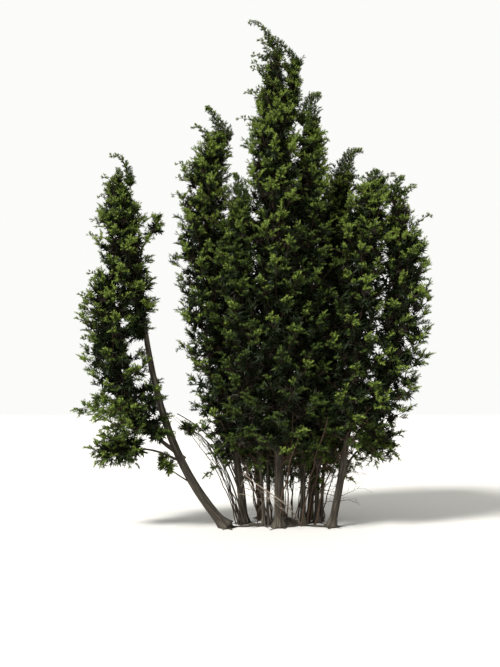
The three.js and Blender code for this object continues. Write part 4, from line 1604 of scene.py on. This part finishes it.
# Slender young stems that stand among the main ones and run up into the crown
slenderStems = {
    "count": 28,
    "rings": 12,
    "radius": 13 * mm,
    "taper": (1.0, 0.45),
    "thinnest": 0.45,  # share of the radius that the thinnest may have
    "height": (0.9, 1.5),
    "around": (0.06, 0.3, 0.56, 0.34),  # middle and half widths of the ground that they rise from
    "lean": (0.3, 0.25),  # outwards, to the sides and to front and back
    "leanChance": 0.1,
    "bow": 0.3,  # how far a stem's middle hangs back from its lean
    "crooked": 10 * mm,
}


def slenderStemPiece():
    draw = np.random.default_rng(seeds["slenderStems"])
    count = slenderStems["count"]
    x, y, halfX, halfY = slenderStems["around"]
    turn = np.arange(count) * goldenAngle
    out = np.sqrt(draw.random(count))
    foot = np.stack([x + halfX * out * np.cos(turn), y + halfY * out * np.sin(turn), 0 * turn], -1)
    height = mix(*slenderStems["height"], draw.random(count))[:, None]
    leanX, leanY = slenderStems["lean"]
    lean = np.stack([leanX * np.cos(turn), leanY * np.sin(turn), 0 * turn], -1)
    lean = lean + slenderStems["leanChance"] * draw.normal(size=foot.shape)
    top = foot + lean * height
    top[:, 2] = height[:, 0]
    handle = mix(foot, top, 0.5) - lean * slenderStems["bow"] * [1, 1, 0]
    rings = np.linspace(0, 1, slenderStems["rings"])
    path = bowPoint(np.stack([foot, handle, top], 1)[:, None], rings[None])
    path[:, 1:-1, :2] += slenderStems["crooked"] * draw.normal(size=path[:, 1:-1, :2].shape)
    thin = slenderStems["thinnest"]
    radii = mix(*slenderStems["taper"], rings) * slenderStems["radius"]
    radii = radii * (thin + (1 - thin) * draw.random((count, 1)))
    piece = twigPiece("slender_stems", [(path, radii)], 7, twigBark)
    keepAboveGround(piece.data, placesOf(piece.data))
    settle(piece, "bark")


slenderStemPiece()
print("slender stems grown")

for template in list(sprayTemplates.objects):
    bpy.data.objects.remove(template)
bpy.data.collections.remove(sprayTemplates)


# A plain pale studio
studio = {
    "floor": "#b9b7b2",
    "floorHalf": 60,
    "air": "#f6f6f4",
    "airStrength": 1.05,
    "keyStrength": 6.6,
    "keySoftness": 14,  # degrees
    "keyTurn": (42, -50),  # tilt from straight down, turn to the left
}


def makeStudio():
    half = studio["floorHalf"]
    corners = [(-half, -half, 0), (half, -half, 0), (half, half, 0), (-half, half, 0)]
    floorMesh = newMesh("floor", corners, [], [(0, 1, 2, 3)])
    floorMesh.materials.append(plainMaterial("paleStudioFloor", studio["floor"], 0.9, 1.4))
    newPiece("studio_floor", floorMesh)
    world = bpy.data.worlds.new("studioAir")
    bpy.context.scene.world = world
    world.use_nodes = True
    air = world.node_tree.nodes["Background"]
    air.inputs["Color"].default_value = linearColour(studio["air"])
    air.inputs["Strength"].default_value = studio["airStrength"]
    key = bpy.data.lights.new("keyLight", "SUN")
    key.energy = studio["keyStrength"]
    key.angle = math.radians(studio["keySoftness"])
    lamp = bpy.data.objects.new("keyLight", key)
    tilt, turn = studio["keyTurn"]
    lamp.rotation_euler = (math.radians(tilt), 0, math.radians(turn))
    bpy.context.collection.objects.link(lamp)


makeStudio()
bpy.context.scene.view_settings.view_transform = "Standard"  # plain colours, as a photograph's
